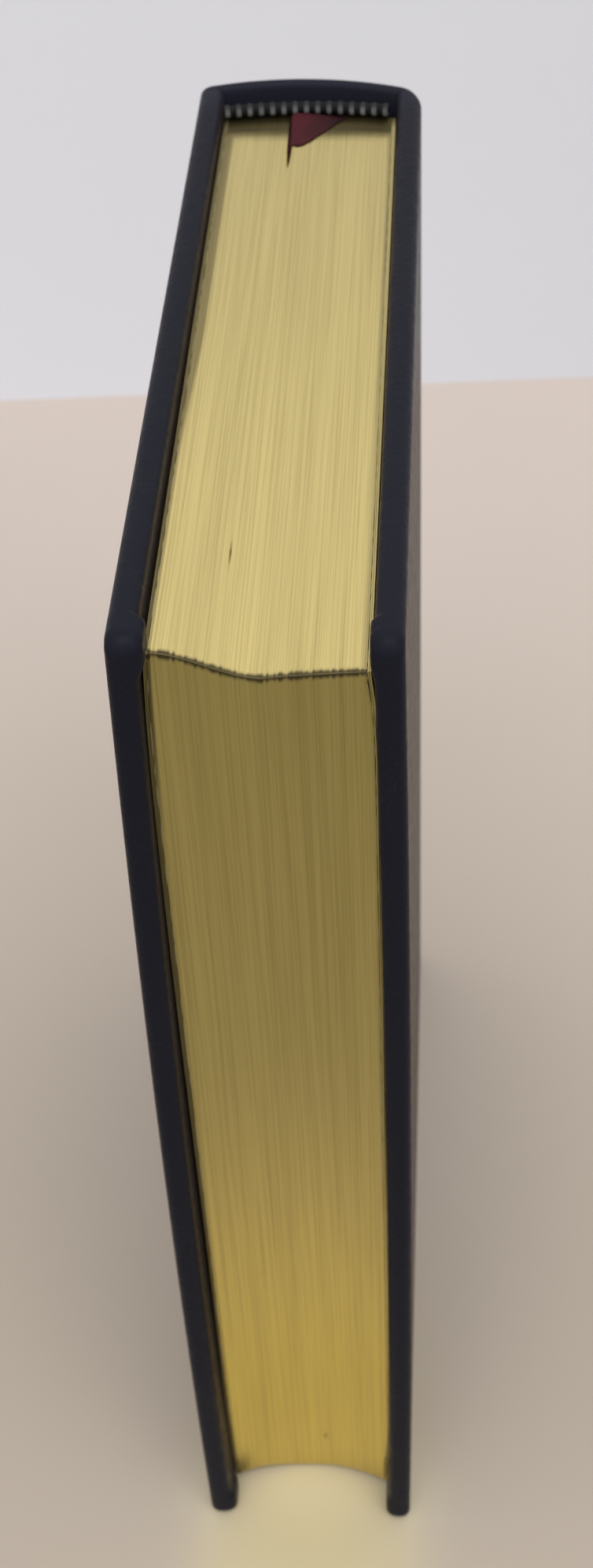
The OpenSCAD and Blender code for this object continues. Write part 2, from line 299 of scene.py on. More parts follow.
def side_sheet(faces, flip):
    """Thin closed sheet on the front cover's side, or its mirror image on the back cover's."""
    return closed_sheet(*(mirrored(face, flip) for face in faces))


def smooth_step(t):
    t = np.clip(t, 0, 1)
    return t * t * (3 - 2 * t)


def bell(t):
    return np.exp(-t * t)


def wander(t, knots, seed):
    """Smooth random curve over t in 0 to 1: seeded values at evenly spaced knots, joined by half cosines."""
    values = np.random.RandomState(seed).normal(size=knots + 2)
    place = np.clip(t, 0, 1) * knots
    i = np.floor(place).astype(int)
    f = (1 - np.cos(np.pi * (place - i))) / 2
    return values[i] * (1 - f) + values[i + 1] * f


# Shape of the pages

EDGE_COUNTS = (16, 110, 96, 10)
CORNER_STEPS = 5
PAGE_CORNER = 0.3
HEAD_SAG = (1.05, 5.5)
HEAD_SAG_PLACE = 0.525
HEAD_SAG_EASE = 0.31
TAIL_SAG_PLACE = 0.47
TAIL_SAG_EASE = 0.58
CORNER_LINES = (0.25, 0.5, 0.8, 1.15, 1.6)
SPREAD = (0.75, 0.95)
SPREAD_DEPTH = 110.0
SLIT_START = 19.5
SLIT_TAPER = 9.0
SLIT_DEPTH = 2.6
SLIT_WIDTH = (0.1, 0.22)

# Marks on the gilding, stains and a nick among them, and painted shade: places, widths and soft edges in
# millimetres, and how brown each one is
# Painted shade: a dark line along the corner of head and fore-edge
CORNER_SHADE_WIDTH = 1.15
CORNER_SHADE_WANDER = 0.2
CORNER_SHADE_SOFT = 0.9
CORNER_SHADE_TONE = 0.95
# Painted reflection of the spine's dark rim in the gilding before the head band, with a darker line in it
SHADE_END = 9.6
SHADE_SOFT = 3.2
SHADE_TONE = (0.6, 0.65)
SHADE_LINE = 5.6
SHADE_LINE_WIDTH = 1.1
SHADE_LINE_TONE = 0.22
# Painted shade beside the covers: borders of the head and outer leaves of the fore-edge
FRONT_BORDER = (0.7, 1.9)
FRONT_BORDER_RUN = (45, 85)
FRONT_BORDER_SOFT = 0.8
FRONT_BORDER_TONE = 0.55
BACK_BORDER = 1.2
BACK_BORDER_TONE = 0.4
FRONT_LEAVES = 0.8
FRONT_LEAVES_SOFT = 0.5
FRONT_LEAVES_RUN = (190, 220)
FRONT_LEAVES_TONE = (0.3, 0.8)
BACK_LEAVES = 0.3
BACK_LEAVES_TONE = 0.3
NICK = (-5.42, 28.25)
NICK_SIZE = (0.08, 2.2)
NICK_DEPTH = 0.35
NICK_TONE = 0.8
FOOT_STAIN = (-14.2, 5.0)
FOOT_STAIN_SIZE = (1.6, 4.5)
FOOT_STAIN_TONE = 0.7
SMALL_STAIN = (3.0, 13.6)
SMALL_STAIN_SIZE = (0.5, 0.8)
SMALL_STAIN_TONE = 0.4
DULL_RUN = (40, 130)
DULL_TONE = 0.08


def crown(u):
    return 1 - (2 * u - 1) ** 2


def run(value, ends):
    """Smooth rise from 0 to 1 between two ends."""
    return smooth_step((value - ends[0]) / (ends[1] - ends[0]))


def between(ends, share):
    return ends[0] + (ends[1] - ends[0]) * share


def spot(x, y, place, size):
    """Soft spot at a place, with its reach each way."""
    return bell((x - place[0]) / size[0]) * bell((y - place[1]) / size[1])


def head_sag(u):
    """Drop of each leaf's head at the fore-edge: little by the front cover, most past the middle."""
    ease = 1 - HEAD_SAG_EASE * np.clip((u - HEAD_SAG_PLACE) / (1 - HEAD_SAG_PLACE), 0, 1) ** 0.75
    return between(HEAD_SAG, np.where(u < HEAD_SAG_PLACE, smooth_step(u / HEAD_SAG_PLACE), ease))


def tail_sag(u):
    """Drop of each leaf's tail at the fore-edge, where the middle leaves come close to the floor."""
    ease = 1 - TAIL_SAG_EASE * (u - TAIL_SAG_PLACE) / (1 - TAIL_SAG_PLACE)
    return between(TAIL_SAG, np.where(u < TAIL_SAG_PLACE, smooth_step(u / TAIL_SAG_PLACE), ease))


def leaf_spread(u, y, z):
    """Sideways shift of the leaves, which fan out towards the covers along the fore-edge.

    The covers' gathered corners pinch them again at the ends: e is 0 at mid-height and 1 at head and tail.
    The front leaves fan out by 1 - 1.6 * e ** 8 above mid-height and by 1 - 1.2 * e ** 8 below it, the back
    leaves by 1 - 9 * e ** 24.
    """
    end = np.abs(2 * z / CASE_H - 1)
    front = SPREAD[0] * (1 - np.where(z > CASE_H / 2, 1.6, 1.2) * end ** 8) * (1 - u) ** 2
    back = SPREAD[1] * np.maximum(1 - 9 * end ** 24, 0) * u ** 2
    return (back - front) * np.clip(1 - (y - Y_FORE) / SPREAD_DEPTH, 0, 1) ** 1.5


def leaf_corners(u):
    """Corners [y, z] of the leaf at u: back and front of the tail, then front and back of the head."""
    rise = crown(u)
    flat = np.ones_like(u)
    tail_back = np.stack([Y_TEXT - TAIL_ROUND * (1 - rise), Z_TAIL * flat], axis=-1)
    tail_front = np.stack([Y_FORE + FORE_TAIL + FORE_HOLLOW * rise, Z_TAIL - tail_sag(u)], axis=-1)
    head_front = np.stack([(Y_FORE + FORE_HEAD) * flat, Z_HEAD - head_sag(u)], axis=-1)
    head_back = np.stack([Y_TEXT - HEAD_ROUND * (1 - rise), Z_HEAD * flat], axis=-1)
    return np.stack([tail_back, tail_front, head_front, head_back], axis=1)


def head_height(x, y):
    """Height of the head edge above each point of the plan."""
    corners = leaf_corners(np.clip(np.ravel(x) / TEXT_T + 0.5, 0, 1))
    front, back = corners[:, 2], corners[:, 3]
    share = np.clip((np.ravel(y) - front[:, 0]) / (back[:, 0] - front[:, 0]), 0, 1)
    return (front[:, 1] + (back[:, 1] - front[:, 1]) * share).reshape(np.shape(y))


def edge_steps(k, count):
    """Shares of the k-th edge at which it has points: even, and closer beside the head's front corner."""
    even = np.linspace(0, 1, count, endpoint=False)
    if k == 1:
        return np.sort(np.concatenate([even, 1 - np.array(CORNER_LINES) / (Z_HEAD - Z_TAIL)]))
    if k == 2:
        return np.sort(np.concatenate([even, np.array(CORNER_LINES) / (Y_TEXT - Y_FORE)]))
    return even


def page_rings(u):
    """Outline [y, z] of every leaf with slightly rounded corners, and the edge that each point lies on.

    The outline runs along the tail, up the fore-edge, back along the head and down the spine.
    """
    corners = leaf_corners(u)
    following = np.roll(corners, -1, axis=1)
    along = following - corners
    along /= np.linalg.norm(along, axis=-1, keepdims=True)
    start = corners + along * PAGE_CORNER
    end = following - along * PAGE_CORNER
    parts, kinds = [], []
    for k, count in enumerate(EDGE_COUNTS):
        t = np.linspace(0, 1, CORNER_STEPS, endpoint=False)[None, :, None]
        before, tip, after = end[:, k - 1][:, None], corners[:, k][:, None], start[:, k][:, None]
        parts.append((1 - t) ** 2 * before + 2 * t * (1 - t) * tip + t * t * after)
        t = edge_steps(k, count)[None, :, None]
        parts.append(start[:, k][:, None] * (1 - t) + end[:, k][:, None] * t)
        kinds += [min(k, 2)] * CORNER_STEPS + [k] * t.size
    return np.concatenate(parts, axis=1), np.array(kinds)


def page_stains_and_shade(u, points, head, fore):
    """How brown the gilding is at each point of the leaves' edges, from 0 to 1, from stains and painted
    shade.

    It has painted shade along the corner of head and fore-edge, a painted reflection of the spine's dark rim
    before the head band and painted shade beside the covers. It is spotted with stains at the foot and along
    the nick, and a little duller towards the back of the head.
    """
    x, y, z = points[..., 0], points[..., 1], points[..., 2]
    depth = y - Y_FORE
    from_back = Y_TEXT - y
    from_front_cover = (u * TEXT_T)[:, None]
    from_back_cover = ((1 - u) * TEXT_T)[:, None]
    corner = leaf_corners(u)[:, 2]
    from_corner = np.hypot(y - corner[:, :1], z - corner[:, 1:])
    # Painted shade along the corner of head and fore-edge, of wandering width
    width = CORNER_SHADE_WIDTH + CORNER_SHADE_WANDER * np.clip(wander(u, 90, 8), -1, 1)[:, None]
    rub_and_shade = smooth_step((width - from_corner) / CORNER_SHADE_SOFT)
    # Painted reflection of the spine's dark rim before the head band
    line = SHADE_LINE_TONE * bell((from_back - SHADE_LINE) / SHADE_LINE_WIDTH)
    band_shade = smooth_step((SHADE_END - from_back) / SHADE_SOFT) * (between(SHADE_TONE, u[:, None]) + line)
    # Painted shade beside the covers, on the head and on the fore-edge
    wide = between(FRONT_BORDER, run(depth, FRONT_BORDER_RUN))
    border = FRONT_BORDER_TONE * smooth_step((wide - from_front_cover) / FRONT_BORDER_SOFT)
    border = border + BACK_BORDER_TONE * smooth_step((BACK_BORDER - from_back_cover) / BACK_BORDER)
    side = smooth_step((FRONT_LEAVES - from_front_cover) / FRONT_LEAVES_SOFT)
    side = side * between(FRONT_LEAVES_TONE, run(z, FRONT_LEAVES_RUN))
    side = side + BACK_LEAVES_TONE * bell(from_back_cover / BACK_LEAVES)
    stains = FOOT_STAIN_TONE * spot(x, z, FOOT_STAIN, FOOT_STAIN_SIZE)
    stains = stains + SMALL_STAIN_TONE * spot(x, z, SMALL_STAIN, SMALL_STAIN_SIZE)
    nick = NICK_TONE * spot(x, depth, NICK, NICK_SIZE)
    stains_and_shade = CORNER_SHADE_TONE * rub_and_shade + (stains + side) * fore + nick * head
    stains_and_shade = np.maximum(stains_and_shade, np.maximum(band_shade, border) * head)
    return np.clip(stains_and_shade + DULL_TONE * run(depth, DULL_RUN) * head, 0, 1)


def page_relief(u, count, depth):
    """Smooth random height of each leaf's edge, which slowly changes its pattern along the edge."""
    turn = 0.5 + 0.5 * np.sin(6 * np.pi * np.linspace(0, 1, count))[None, :]
    coarse = wander(u, 26, 3)[:, None] * turn + wander(u, 31, 4)[:, None] * (1 - turn)
    fine = wander(u, 110, 5)[:, None] * (1 - turn) + wander(u, 120, 6)[:, None] * turn
    return depth * (0.8 * coarse + 0.45 * fine)


def page_surface(settings):
    """Surface of the block of pages: outlines of all the leaves side by side, each a little in or out.

    A leaf is moved along its outline's normal by the relief. The head is parted where the ribbon goes in, and
    marks carry where the edge is gilt and where the gilding is browned by stains and painted shade.
    """
    u = np.linspace(0, 1, settings.leaves)
    rings, kinds = page_rings(u)
    tangent = np.roll(rings, -1, axis=1) - np.roll(rings, 1, axis=1)
    tangent /= np.linalg.norm(tangent, axis=-1, keepdims=True)
    outward = np.stack([-tangent[..., 1], tangent[..., 0]], axis=-1)
    relief = page_relief(u, rings.shape[1], settings.relief) * (kinds != 3)[None, :]
    rings = rings + outward * relief[..., None]
    x = (u - 0.5)[:, None] * TEXT_T + leaf_spread(u[:, None], rings[..., 0], rings[..., 1])
    y = rings[..., 0]
    head = (kinds == 2)[None, :]
    parting = smooth_step((y - (Y_TEXT - SLIT_START)) / SLIT_TAPER) * head
    rings[..., 1] -= SLIT_DEPTH * parting * bell((x - RIBBON_X) / between(SLIT_WIDTH, parting))
    rings[..., 1] -= NICK_DEPTH * spot(x, y - Y_FORE, NICK, NICK_SIZE) * head
    points = np.concatenate([x[..., None], rings], axis=-1)
    stains_and_shade = page_stains_and_shade(u, points, head, (kinds == 1)[None, :])
    sheets = [(points, False, True), capped(points[0]), capped(points[-1])]
    bare = np.zeros((2, points.shape[1]))
    gilt = np.broadcast_to((kinds != 3).astype(float)[None, :], x.shape)
    return sheets, {"gilt": [gilt, bare, bare], "stains_and_shade": [stains_and_shade, bare, bare]}


# Shape of the covers

EDGE_REACH = 1.95
EDGE_POWER = 2.3
CORNER_R = 3.0
TURN_IN = 7.0
SEAM_TURN = 0.13
SEAM_REACH = 1.2
SEAM_DEPTH = 0.14
RUB_REACH = 0.9
PLEAT_REACH = 6.6
PLEAT_DROP = 9.0
PLEAT_SOFT = (0.8, 4.0)
PASTE_STEP = 0.45
PASTE_EDGE = TURN_IN - 0.12
PASTE_SOFT = 0.18
PASTE_OUT = 0.03
# Painted shade on the pasted endpaper: how far from the turn-ins it reaches, and the share over which it
# softens
PASTE_SHADE_REACH = 16.0
PASTE_SHADE_SHARE = 0.6
RIPPLE = (0.03, 0.018)
PLEATS = {"front": 1.0, "back": 0.55}
LINE_STEP = 0.4
INSIDE_START = 13.5
INSIDE_LINES = (44, 70)


def cover_lines(length, both_ends):
    """Distances from an edge: close together round the edge, the corner and the turn-in, then wide apart."""
    nose = EDGE_REACH * (1 - np.cos(np.linspace(0, np.pi / 2, 13)))
    near = np.concatenate([nose, np.arange(EDGE_REACH + 0.35, TURN_IN - LINE_STEP / 2, LINE_STEP)])
    near = np.concatenate([near, [PASTE_EDGE, TURN_IN + 0.06, TURN_IN + 0.5, TURN_IN + 2, TURN_IN + 4]])
    if both_ends:
        inside = np.linspace(INSIDE_START, length - INSIDE_START, INSIDE_LINES[1])
        return np.concatenate([near, inside, length - near[::-1]])
    return np.concatenate([near, np.linspace(INSIDE_START, length, INSIDE_LINES[0])])


def cover_bow(bow, a, z):
    """How far the cover stands out, a being the distance from its fore-edge: most at mid-height."""
    return bow * (1 - (2 * z / CASE_H - 1) ** 2) * np.clip(1 - a / (COVER_END - Y_FORE), 0, 1) ** 1.4


def round_corners(a, b, height, radius):
    """Pulls a grid over the side view into round corners at the fore-edge.

    From distances to the fore-edge and to the foot it gives the new distance to the fore-edge, the height,
    the distances to the nearer end and to the outline, and the angle from the corner's mitre line.
    """
    low = np.minimum(b, height - b)
    i = np.clip(1 - a / radius, 0, 1)
    j = np.clip(1 - low / radius, 0, 1)
    corner = (i > 0) & (j > 0)
    round_i = i * np.sqrt(1 - j * j / 2)
    round_j = j * np.sqrt(1 - i * i / 2)
    a = np.where(corner, radius * (1 - round_i), a)
    low = np.where(corner, radius * (1 - round_j), low)
    d = np.where(corner, radius * (1 - np.hypot(round_i, round_j)), np.minimum(a, low))
    fold = np.where(corner, np.arctan2(j, np.maximum(i, 1e-6)) - np.pi / 4, 9.0)
    return a, np.where(b < height / 2, low, height - low), low, np.clip(d, 0, None), fold


def board_faces(bow):
    """Inner and outer face of the front board, which bows with its cover."""
    near = np.linspace(0, CORNER_R, 8)
    height = BOARD_HIGH[2] - BOARD_LOW[2]
    along = np.concatenate([near, np.linspace(CORNER_R, BOARD_HIGH[1] - BOARD_LOW[1], 24)[1:]])
    up = np.concatenate([near, np.linspace(CORNER_R, height - CORNER_R, 40)[1:-1], height - near[::-1]])
    a, b = np.meshgrid(along, up, indexing="ij")
    a, z, low, d, fold = round_corners(a, b, height, CORNER_R)
    y, z = BOARD_LOW[1] + a, BOARD_LOW[2] + z
    out = cover_bow(bow, y - Y_FORE, z)
    return tuple(np.stack([side - out, y, z], axis=-1) for side in (BOARD_HIGH[0], BOARD_LOW[0]))


def cover_surfaces(bow, pleat):
    """Outer face, inner face and spine edge of the front cover, as grids of points.

    A grid over the side view is pulled into round corners. At a distance d from the outline the cover is
    half * (1 - (1 - d / reach) ** n) ** (1 / n) thick on each side of its middle, so its edges are round.
    """
    a, b = np.meshgrid(
        cover_lines(COVER_END - Y_FORE, False), cover_lines(CASE_H, True), indexing="ij"
    )
    a, z, low, d, fold = round_corners(a, b, CASE_H, CORNER_R)
    y = Y_FORE + a
    swell = (1 - (1 - np.clip(d / EDGE_REACH, 0, 1)) ** EDGE_POWER) ** (1 / EDGE_POWER)
    seam = bell(fold / SEAM_TURN) * np.exp(-d / SEAM_REACH)
    thick = COVER_T / 2 * swell - SEAM_DEPTH * seam
    middle = -HALF_T + COVER_T / 2 - cover_bow(bow, a, z)
    ripple = RIPPLE[0] * np.sin(z / 17 + 1) * np.sin(y / 23) + RIPPLE[1] * np.sin(z / 7.3 + y / 11)
    outer = np.stack([middle - thick + ripple * smooth_step((d - EDGE_REACH) / 2), y, z], axis=-1)
    lump = smooth_step((PLEAT_REACH - a) / PLEAT_SOFT[0]) * smooth_step((PLEAT_DROP - low) / PLEAT_SOFT[1])
    lump = pleat * lump * swell
    pasted = smooth_step((a - PASTE_EDGE) / PASTE_SOFT) * smooth_step((low - PASTE_EDGE) / PASTE_SOFT)
    inner = np.stack([middle + thick + lump - PASTE_STEP * pasted, y, z], axis=-1)
    end = np.stack([outer[-1], 0.5 * (outer[-1] + inner[-1]), inner[-1]], axis=0)
    return outer, inner, end, np.exp(-d / RUB_REACH)


def pastedown_faces(bow):
    """Front and back of the paper pasted inside the front cover, which follows the cover's bow."""
    along = np.linspace(TURN_IN, COVER_END - Y_FORE, 40)
    a, z = np.meshgrid(along, np.linspace(TURN_IN, CASE_H - TURN_IN, 60), indexing="ij")
    inner = -COVER_IN - cover_bow(bow, a, z)
    top = np.stack([inner + PASTE_OUT, Y_FORE + a, z], axis=-1)
    return top, top - np.array([PASTE_STEP - 0.02, 0, 0])


def pastedown_shade(top):
    """Painted shade on the pasted paper, where it lies in shade beside the turn-ins: darkest close to them,
    lighter further inwards.
    """
    inside = np.minimum(top[..., 1] - Y_FORE, np.minimum(top[..., 2], CASE_H - top[..., 2])) - TURN_IN
    return smooth_step((PASTE_SHADE_REACH - inside) / (PASTE_SHADE_SHARE * PASTE_SHADE_REACH))


# Shape of the spine

SPINE_ROUND = 4.1
SPINE_LEAN = 2.5
FRONT_SHOULDER = 1.6
BACK_SHOULDER = 6.5
RIM = 2.2
HAIR_GAP = 0.04
SPINE_RUB = 1.4
SPINE_R = (HALF_T ** 2 + SPINE_ROUND ** 2) / (2 * SPINE_ROUND)


def shoulder_paths(r, span):
    """Outer and inner path of one shoulder, measured from the spine's middle, and their two end angles."""
    middle_y = Y_BACK - SPINE_R
    turn = math.asin((span - r) / (SPINE_R - r))
    y = middle_y + math.sqrt((SPINE_R - r) ** 2 - (span - r) ** 2)
    strip_y = np.linspace(COVER_END + HAIR_GAP, y, 8)[:-1]
    strip = np.stack([np.full(len(strip_y), span), strip_y], axis=-1)
    angle = np.linspace(0, math.pi / 2 - turn, 16)
    arc = np.stack([span - r + r * np.cos(angle), y + r * np.sin(angle)], axis=-1)
    outer = np.concatenate([strip, arc])
    inner_x = span - COVER_T
    inner_top = middle_y + math.sqrt((SPINE_R - RIM) ** 2 - inner_x ** 2)
    inner = np.stack([np.full(len(outer), inner_x), np.minimum(outer[:, 1], inner_top)], axis=-1)
    return outer, inner, turn, math.asin(inner_x / (SPINE_R - RIM))


def spine_paths():
    """Outer and inner path of the spine leather in plan, from the front joint to the back joint.

    Outside it is straight beside each joint, then a shoulder arc, then one wide arc across the back. Inside,
    the stretch beside each joint is as deep as a cover, and the back is as thick as the turned-in leather.
    """
    middle = np.array([-SPINE_LEAN, Y_BACK - SPINE_R])
    front, front_in, front_turn, front_in_turn = shoulder_paths(FRONT_SHOULDER, HALF_T - SPINE_LEAN)
    back, back_in, back_turn, back_in_turn = shoulder_paths(BACK_SHOULDER, HALF_T + SPINE_LEAN)
    t = np.linspace(0, 1, 62)[1:-1]

    def wide(radius, start, end):
        angle = math.pi / 2 + start - (start + end) * t
        return middle + radius * np.stack([np.cos(angle), np.sin(angle)], axis=-1)

    def placed(path, sign):
        return path * np.array([sign, 1]) - np.array([SPINE_LEAN, 0])

    outer = [placed(front, -1), wide(SPINE_R, front_turn, back_turn), placed(back, 1)[::-1]]
    inner = [placed(front_in, -1), wide(SPINE_R - RIM, front_in_turn, back_in_turn), placed(back_in, 1)[::-1]]
    return np.concatenate(outer), np.concatenate(inner)


def spine_surface():
    """Spine leather: a closed section carried along the two paths, with round rims like the covers'."""
    outer, inner = spine_paths()
    middle = (outer + inner) / 2
    reach = (outer - inner) / 2
    half = np.linalg.norm(reach, axis=-1)[:, None]
    rim = np.clip(EDGE_REACH * half / (COVER_T / 2), 1.0, EDGE_REACH)
    turn = np.linspace(0, np.pi, 17)
    across = np.sign(np.cos(turn)) * np.abs(np.cos(turn)) ** (2 / EDGE_POWER)
    rise = np.abs(np.sin(turn)) ** (2 / EDGE_POWER)
    climb = np.linspace(0, 1, 60)[1:-1]
    flat = np.ones_like(climb)
    plan_share = np.concatenate([flat, across, -flat, -across])[None, :, None]
    plan = middle[:, None] + reach[:, None] * plan_share
    side = rim + (CASE_H - 2 * rim) * climb[None, :]
    z = np.concatenate(
        [side, CASE_H - rim + rim * rise[None, :], side[:, ::-1], rim - rim * rise[None, :]], axis=1
    )
    body = np.concatenate([plan, z[..., None]], axis=-1)
    rub = np.exp(-np.minimum(z, CASE_H - z) / SPINE_RUB)
    bare = np.zeros((2, body.shape[1]))
    return [(body, False, True), capped(body[0]), capped(body[-1])], {"rub": [rub, bare, bare]}


# Leather and paper at the joints

HINGE_REACH = 2.4
HINGE_UNDER = 0.14
HINGE_T = 0.25
HINGE_MARGIN = 2.5
PAPER_WIDTH = 9.0
PAPER_T = 0.06
PAPER_MARGIN = 0.4
PAPER_COVER_X = -COVER_IN + 0.08
PAPER_LEAF_X = -TEXT_T / 2 - 0.72
FOLD_Y = COVER_END - 0.5


def hinge_leather_faces():
    """Thin leather just under the surface, from the front cover across the joint to the spine."""
    y = np.linspace(COVER_END - HINGE_REACH, COVER_END + HINGE_REACH, 41)
    y, z = np.meshgrid(y, np.linspace(HINGE_MARGIN, CASE_H - HINGE_MARGIN, 24), indexing="ij")
    near = np.stack([np.full(y.shape, -HALF_T + HINGE_UNDER), y, z], axis=-1)
    return near, near + np.array([HINGE_T, 0, 0])


def hinge_paper_faces():
    """Endpaper at the joint: from the pasted side to the fold, round it, and forward along the free leaf."""
    half = (PAPER_LEAF_X - PAPER_COVER_X) / 2
    middle = (PAPER_LEAF_X + PAPER_COVER_X) / 2
    turn = np.linspace(np.pi, 0, 41)
    flat = np.linspace(FOLD_Y - PAPER_WIDTH, FOLD_Y, 8)[:-1]
    x = np.concatenate([np.full(7, PAPER_COVER_X), middle + half * np.cos(turn), np.full(7, PAPER_LEAF_X)])
    y = np.concatenate([flat, FOLD_Y + half * np.sin(turn), flat[::-1]])
    path = np.stack([x, y], axis=-1)
    along = np.gradient(path, axis=0)
    along /= np.linalg.norm(along, axis=-1, keepdims=True)
    off = np.stack([-along[:, 1], along[:, 0]], axis=-1) * PAPER_T / 2
    z = np.linspace(TURN_IN + PAPER_MARGIN, CASE_H - TURN_IN - PAPER_MARGIN, 24)

    def face(plan):
        spread = np.broadcast_to(plan[:, None], (len(plan), len(z), 2))
        return np.concatenate([spread, np.broadcast_to(z[None, :, None], (len(plan), len(z), 1))], axis=-1)

    return face(path + off), face(path - off)


def hinge_paste_shade(points):
    """Painted shade on the endpaper at the joint: as on the pasted paper beside it, and none on the free
    leaf.
    """
    on_cover = (np.abs(points[..., 0]) + PAPER_LEAF_X) / (PAPER_LEAF_X - PAPER_COVER_X)
    return pastedown_shade(points) * np.clip(on_cover, 0, 1)


# Shape of the end bands

BAND_R = 1.15
BAND_STEP = 0.15
BAND_SHIFT = 0.6
BAND_LIFT = 0.5
GLUE_GAP = 0.2
TAPE_T = 0.4
TAPE_H = 12.0
THREAD = 0.27
THREAD_RIDGE = 0.03
BAND_END = 0.35
WINDING_END = 0.22
WINDING_SINK = 0.06
WINDING_RISE = BAND_STEP + 0.09


def band_points(share, across, lift, rise, at_head):
    """Points on an end band: a share of its length, a distance out from the pages' back, and a height."""
    r = (TEXT_T ** 2 / 4 + rise ** 2) / (2 * rise)
    half = math.asin(TEXT_T / 2 / r)
    angle = math.pi / 2 + math.asin(BAND_SHIFT / r) + half * (1 - 2 * share)
    radius = r + GLUE_GAP + across
    z = Z_HEAD + lift if at_head else Z_TAIL - lift
    return np.stack(
        np.broadcast_arrays(radius * np.cos(angle), Y_TEXT - r + radius * np.sin(angle), z), axis=-1
    )


def bead(share, radius, rise, at_head):
    """Silk bead: a circle of the given radius at every share of the length."""
    turn = np.linspace(0, 2 * np.pi, 20, endpoint=False)[None, :]
    across = TAPE_T - BAND_R + radius[:, None] * np.cos(turn)
    lift = BAND_LIFT + BAND_R + radius[:, None] * np.sin(turn)
    return band_points(share[:, None] + 0 * turn, across, lift, rise, at_head), False, True


def dark_band(rise, at_head):
    """Dark silk bead with ridges of thread, and the tape that carries it."""
    share = np.linspace(0, 1, 620)
    length = share * TEXT_T
    ends = np.minimum(length, TEXT_T - length)
    radius = BAND_R - BAND_STEP + THREAD_RIDGE * np.cos(2 * np.pi * length / THREAD)
    core = bead(share, radius * np.sqrt(np.clip(ends / BAND_END, 0, 1)), rise, at_head)
    across = np.array([0, 1, 1, 1, 1, 0, 0, 0])[None, :] * TAPE_T
    lift = np.array([0, 0, 0, 0.5, 1, 1, 1, 0.5])[None, :] * (TAPE_H + BAND_LIFT + BAND_R) - TAPE_H
    tape = band_points(np.linspace(0, 1, 60)[:, None] + 0 * across, across, lift, rise, at_head)
    return [core, (tape, False, True), capped(tape[0]), capped(tape[-1])]


def white_windings(count, rise, at_head):
    """White silk wound over the bead: short swollen rings with ridges of thread, one at each end."""
    steps = 2 * count - 1
    t = np.linspace(0, 1, 30)
    swell = np.sqrt(np.clip(np.minimum(t, 1 - t) / WINDING_END, 0, 1))
    ridge = THREAD_RIDGE * np.cos(2 * np.pi * t * TEXT_T / steps / THREAD)
    radius = BAND_R - BAND_STEP - WINDING_SINK + swell * (WINDING_RISE + ridge)
    return [bead((2 * k + 0.05 + 0.9 * t) / steps, radius, rise, at_head) for k in range(count)]


# Shape of the ribbon

RIBBON_W = 6.35
RIBBON_T = 0.2
RIBBON_TAB = 4.0
RIBBON_DROP = 100.0
RIBBON_BEND = 0.6
RIBBON_LIFT = 0.13
RIBBON_CREST = 1.2
RIBBON_HEM = 2.4
RIBBON_HEM_PLACE = 0.45
RIBBON_UNDER = 2.0
RIBBON_SINK = 1.5
RIBBON_FOLDED = 2.4 * RIBBON_W
RIBBON_REACH = RIBBON_W * math.sqrt(2)
CREST_Y = Y_TEXT + GLUE_GAP + TAPE_T - 2 * BAND_R - 0.2


def ribbon_points(along, across):
    """Places of points of the flat ribbon, given along and across it.

    The strip lies at half a right angle to the parting. p is the distance from the line where it turns down
    between two leaves, and v the depth. In front of the end band it rises to a crest, behind which it goes
    down, under the band and down the pages' back. Past the line p = 0 it rolls round a small radius and goes
    straight down. Its front hem is pushed forward into a soft curve.
    """
    root = math.sqrt(0.5)
    p = RIBBON_REACH - (along + across) * root
    v = CREST_Y - (along - across) * root
    share = np.clip(p / RIBBON_REACH, 0, 1)
    mouth = v - np.minimum(p, 0)
    hem = CREST_Y - RIBBON_REACH * (1 - share)
    climb = np.clip((mouth - hem) / np.maximum(CREST_Y - hem, 0.05), 0, 1)
    crest = RIBBON_CREST * (1 - share ** 2)
    behind = np.clip(mouth - CREST_Y, 0, None)
    down = np.minimum(behind, crest)
    back = np.clip(behind - crest, 0, RIBBON_UNDER)
    tab = np.clip(behind - crest - RIBBON_UNDER, 0, None)
    turn = np.clip(-p / (RIBBON_BEND * math.pi / 2), 0, 1) * (math.pi / 2)
    fall = np.clip(-p - RIBBON_BEND * math.pi / 2, 0, None)
    swing = share / RIBBON_HEM_PLACE
    curve = RIBBON_HEM * swing * np.exp(1 - swing) * (1 - share) * (1 - climb)
    x = RIBBON_X + RIBBON_BEND + np.clip(p, 0, None) - RIBBON_BEND * np.sin(turn)
    y = np.minimum(mouth, CREST_Y) + back + np.minimum(p, 0) - curve
    top = head_height(x, np.minimum(mouth, CREST_Y)) + RIBBON_LIFT
    fall = fall + RIBBON_SINK * smooth_step(fall / RIBBON_SINK)
    z = top + crest * climb ** 1.5 - down - tab - RIBBON_BEND * (1 - np.cos(turn)) - fall
    return np.stack([x, y, z], axis=-1)


def ribbon_faces():
    """Upper and lower face of the ribbon, and its length."""
    length = RIBBON_TAB + RIBBON_DROP * math.sqrt(2)
    along = np.concatenate([
        np.linspace(-RIBBON_TAB, 0, 10)[:-1], np.linspace(0, RIBBON_FOLDED, 90)[:-1],
        np.linspace(RIBBON_FOLDED, length - RIBBON_TAB, 40),
    ])
    a, b = np.meshgrid(along, np.linspace(0, RIBBON_W, 25), indexing="ij")
    points = ribbon_points(a, b)
    normal = np.cross(np.gradient(points, axis=1), np.gradient(points, axis=0))
    normal /= np.maximum(np.linalg.norm(normal, axis=-1, keepdims=True), 1e-9)
    return points + normal * RIBBON_T / 2, points - normal * RIBBON_T / 2, length


# Shape of the free endpapers

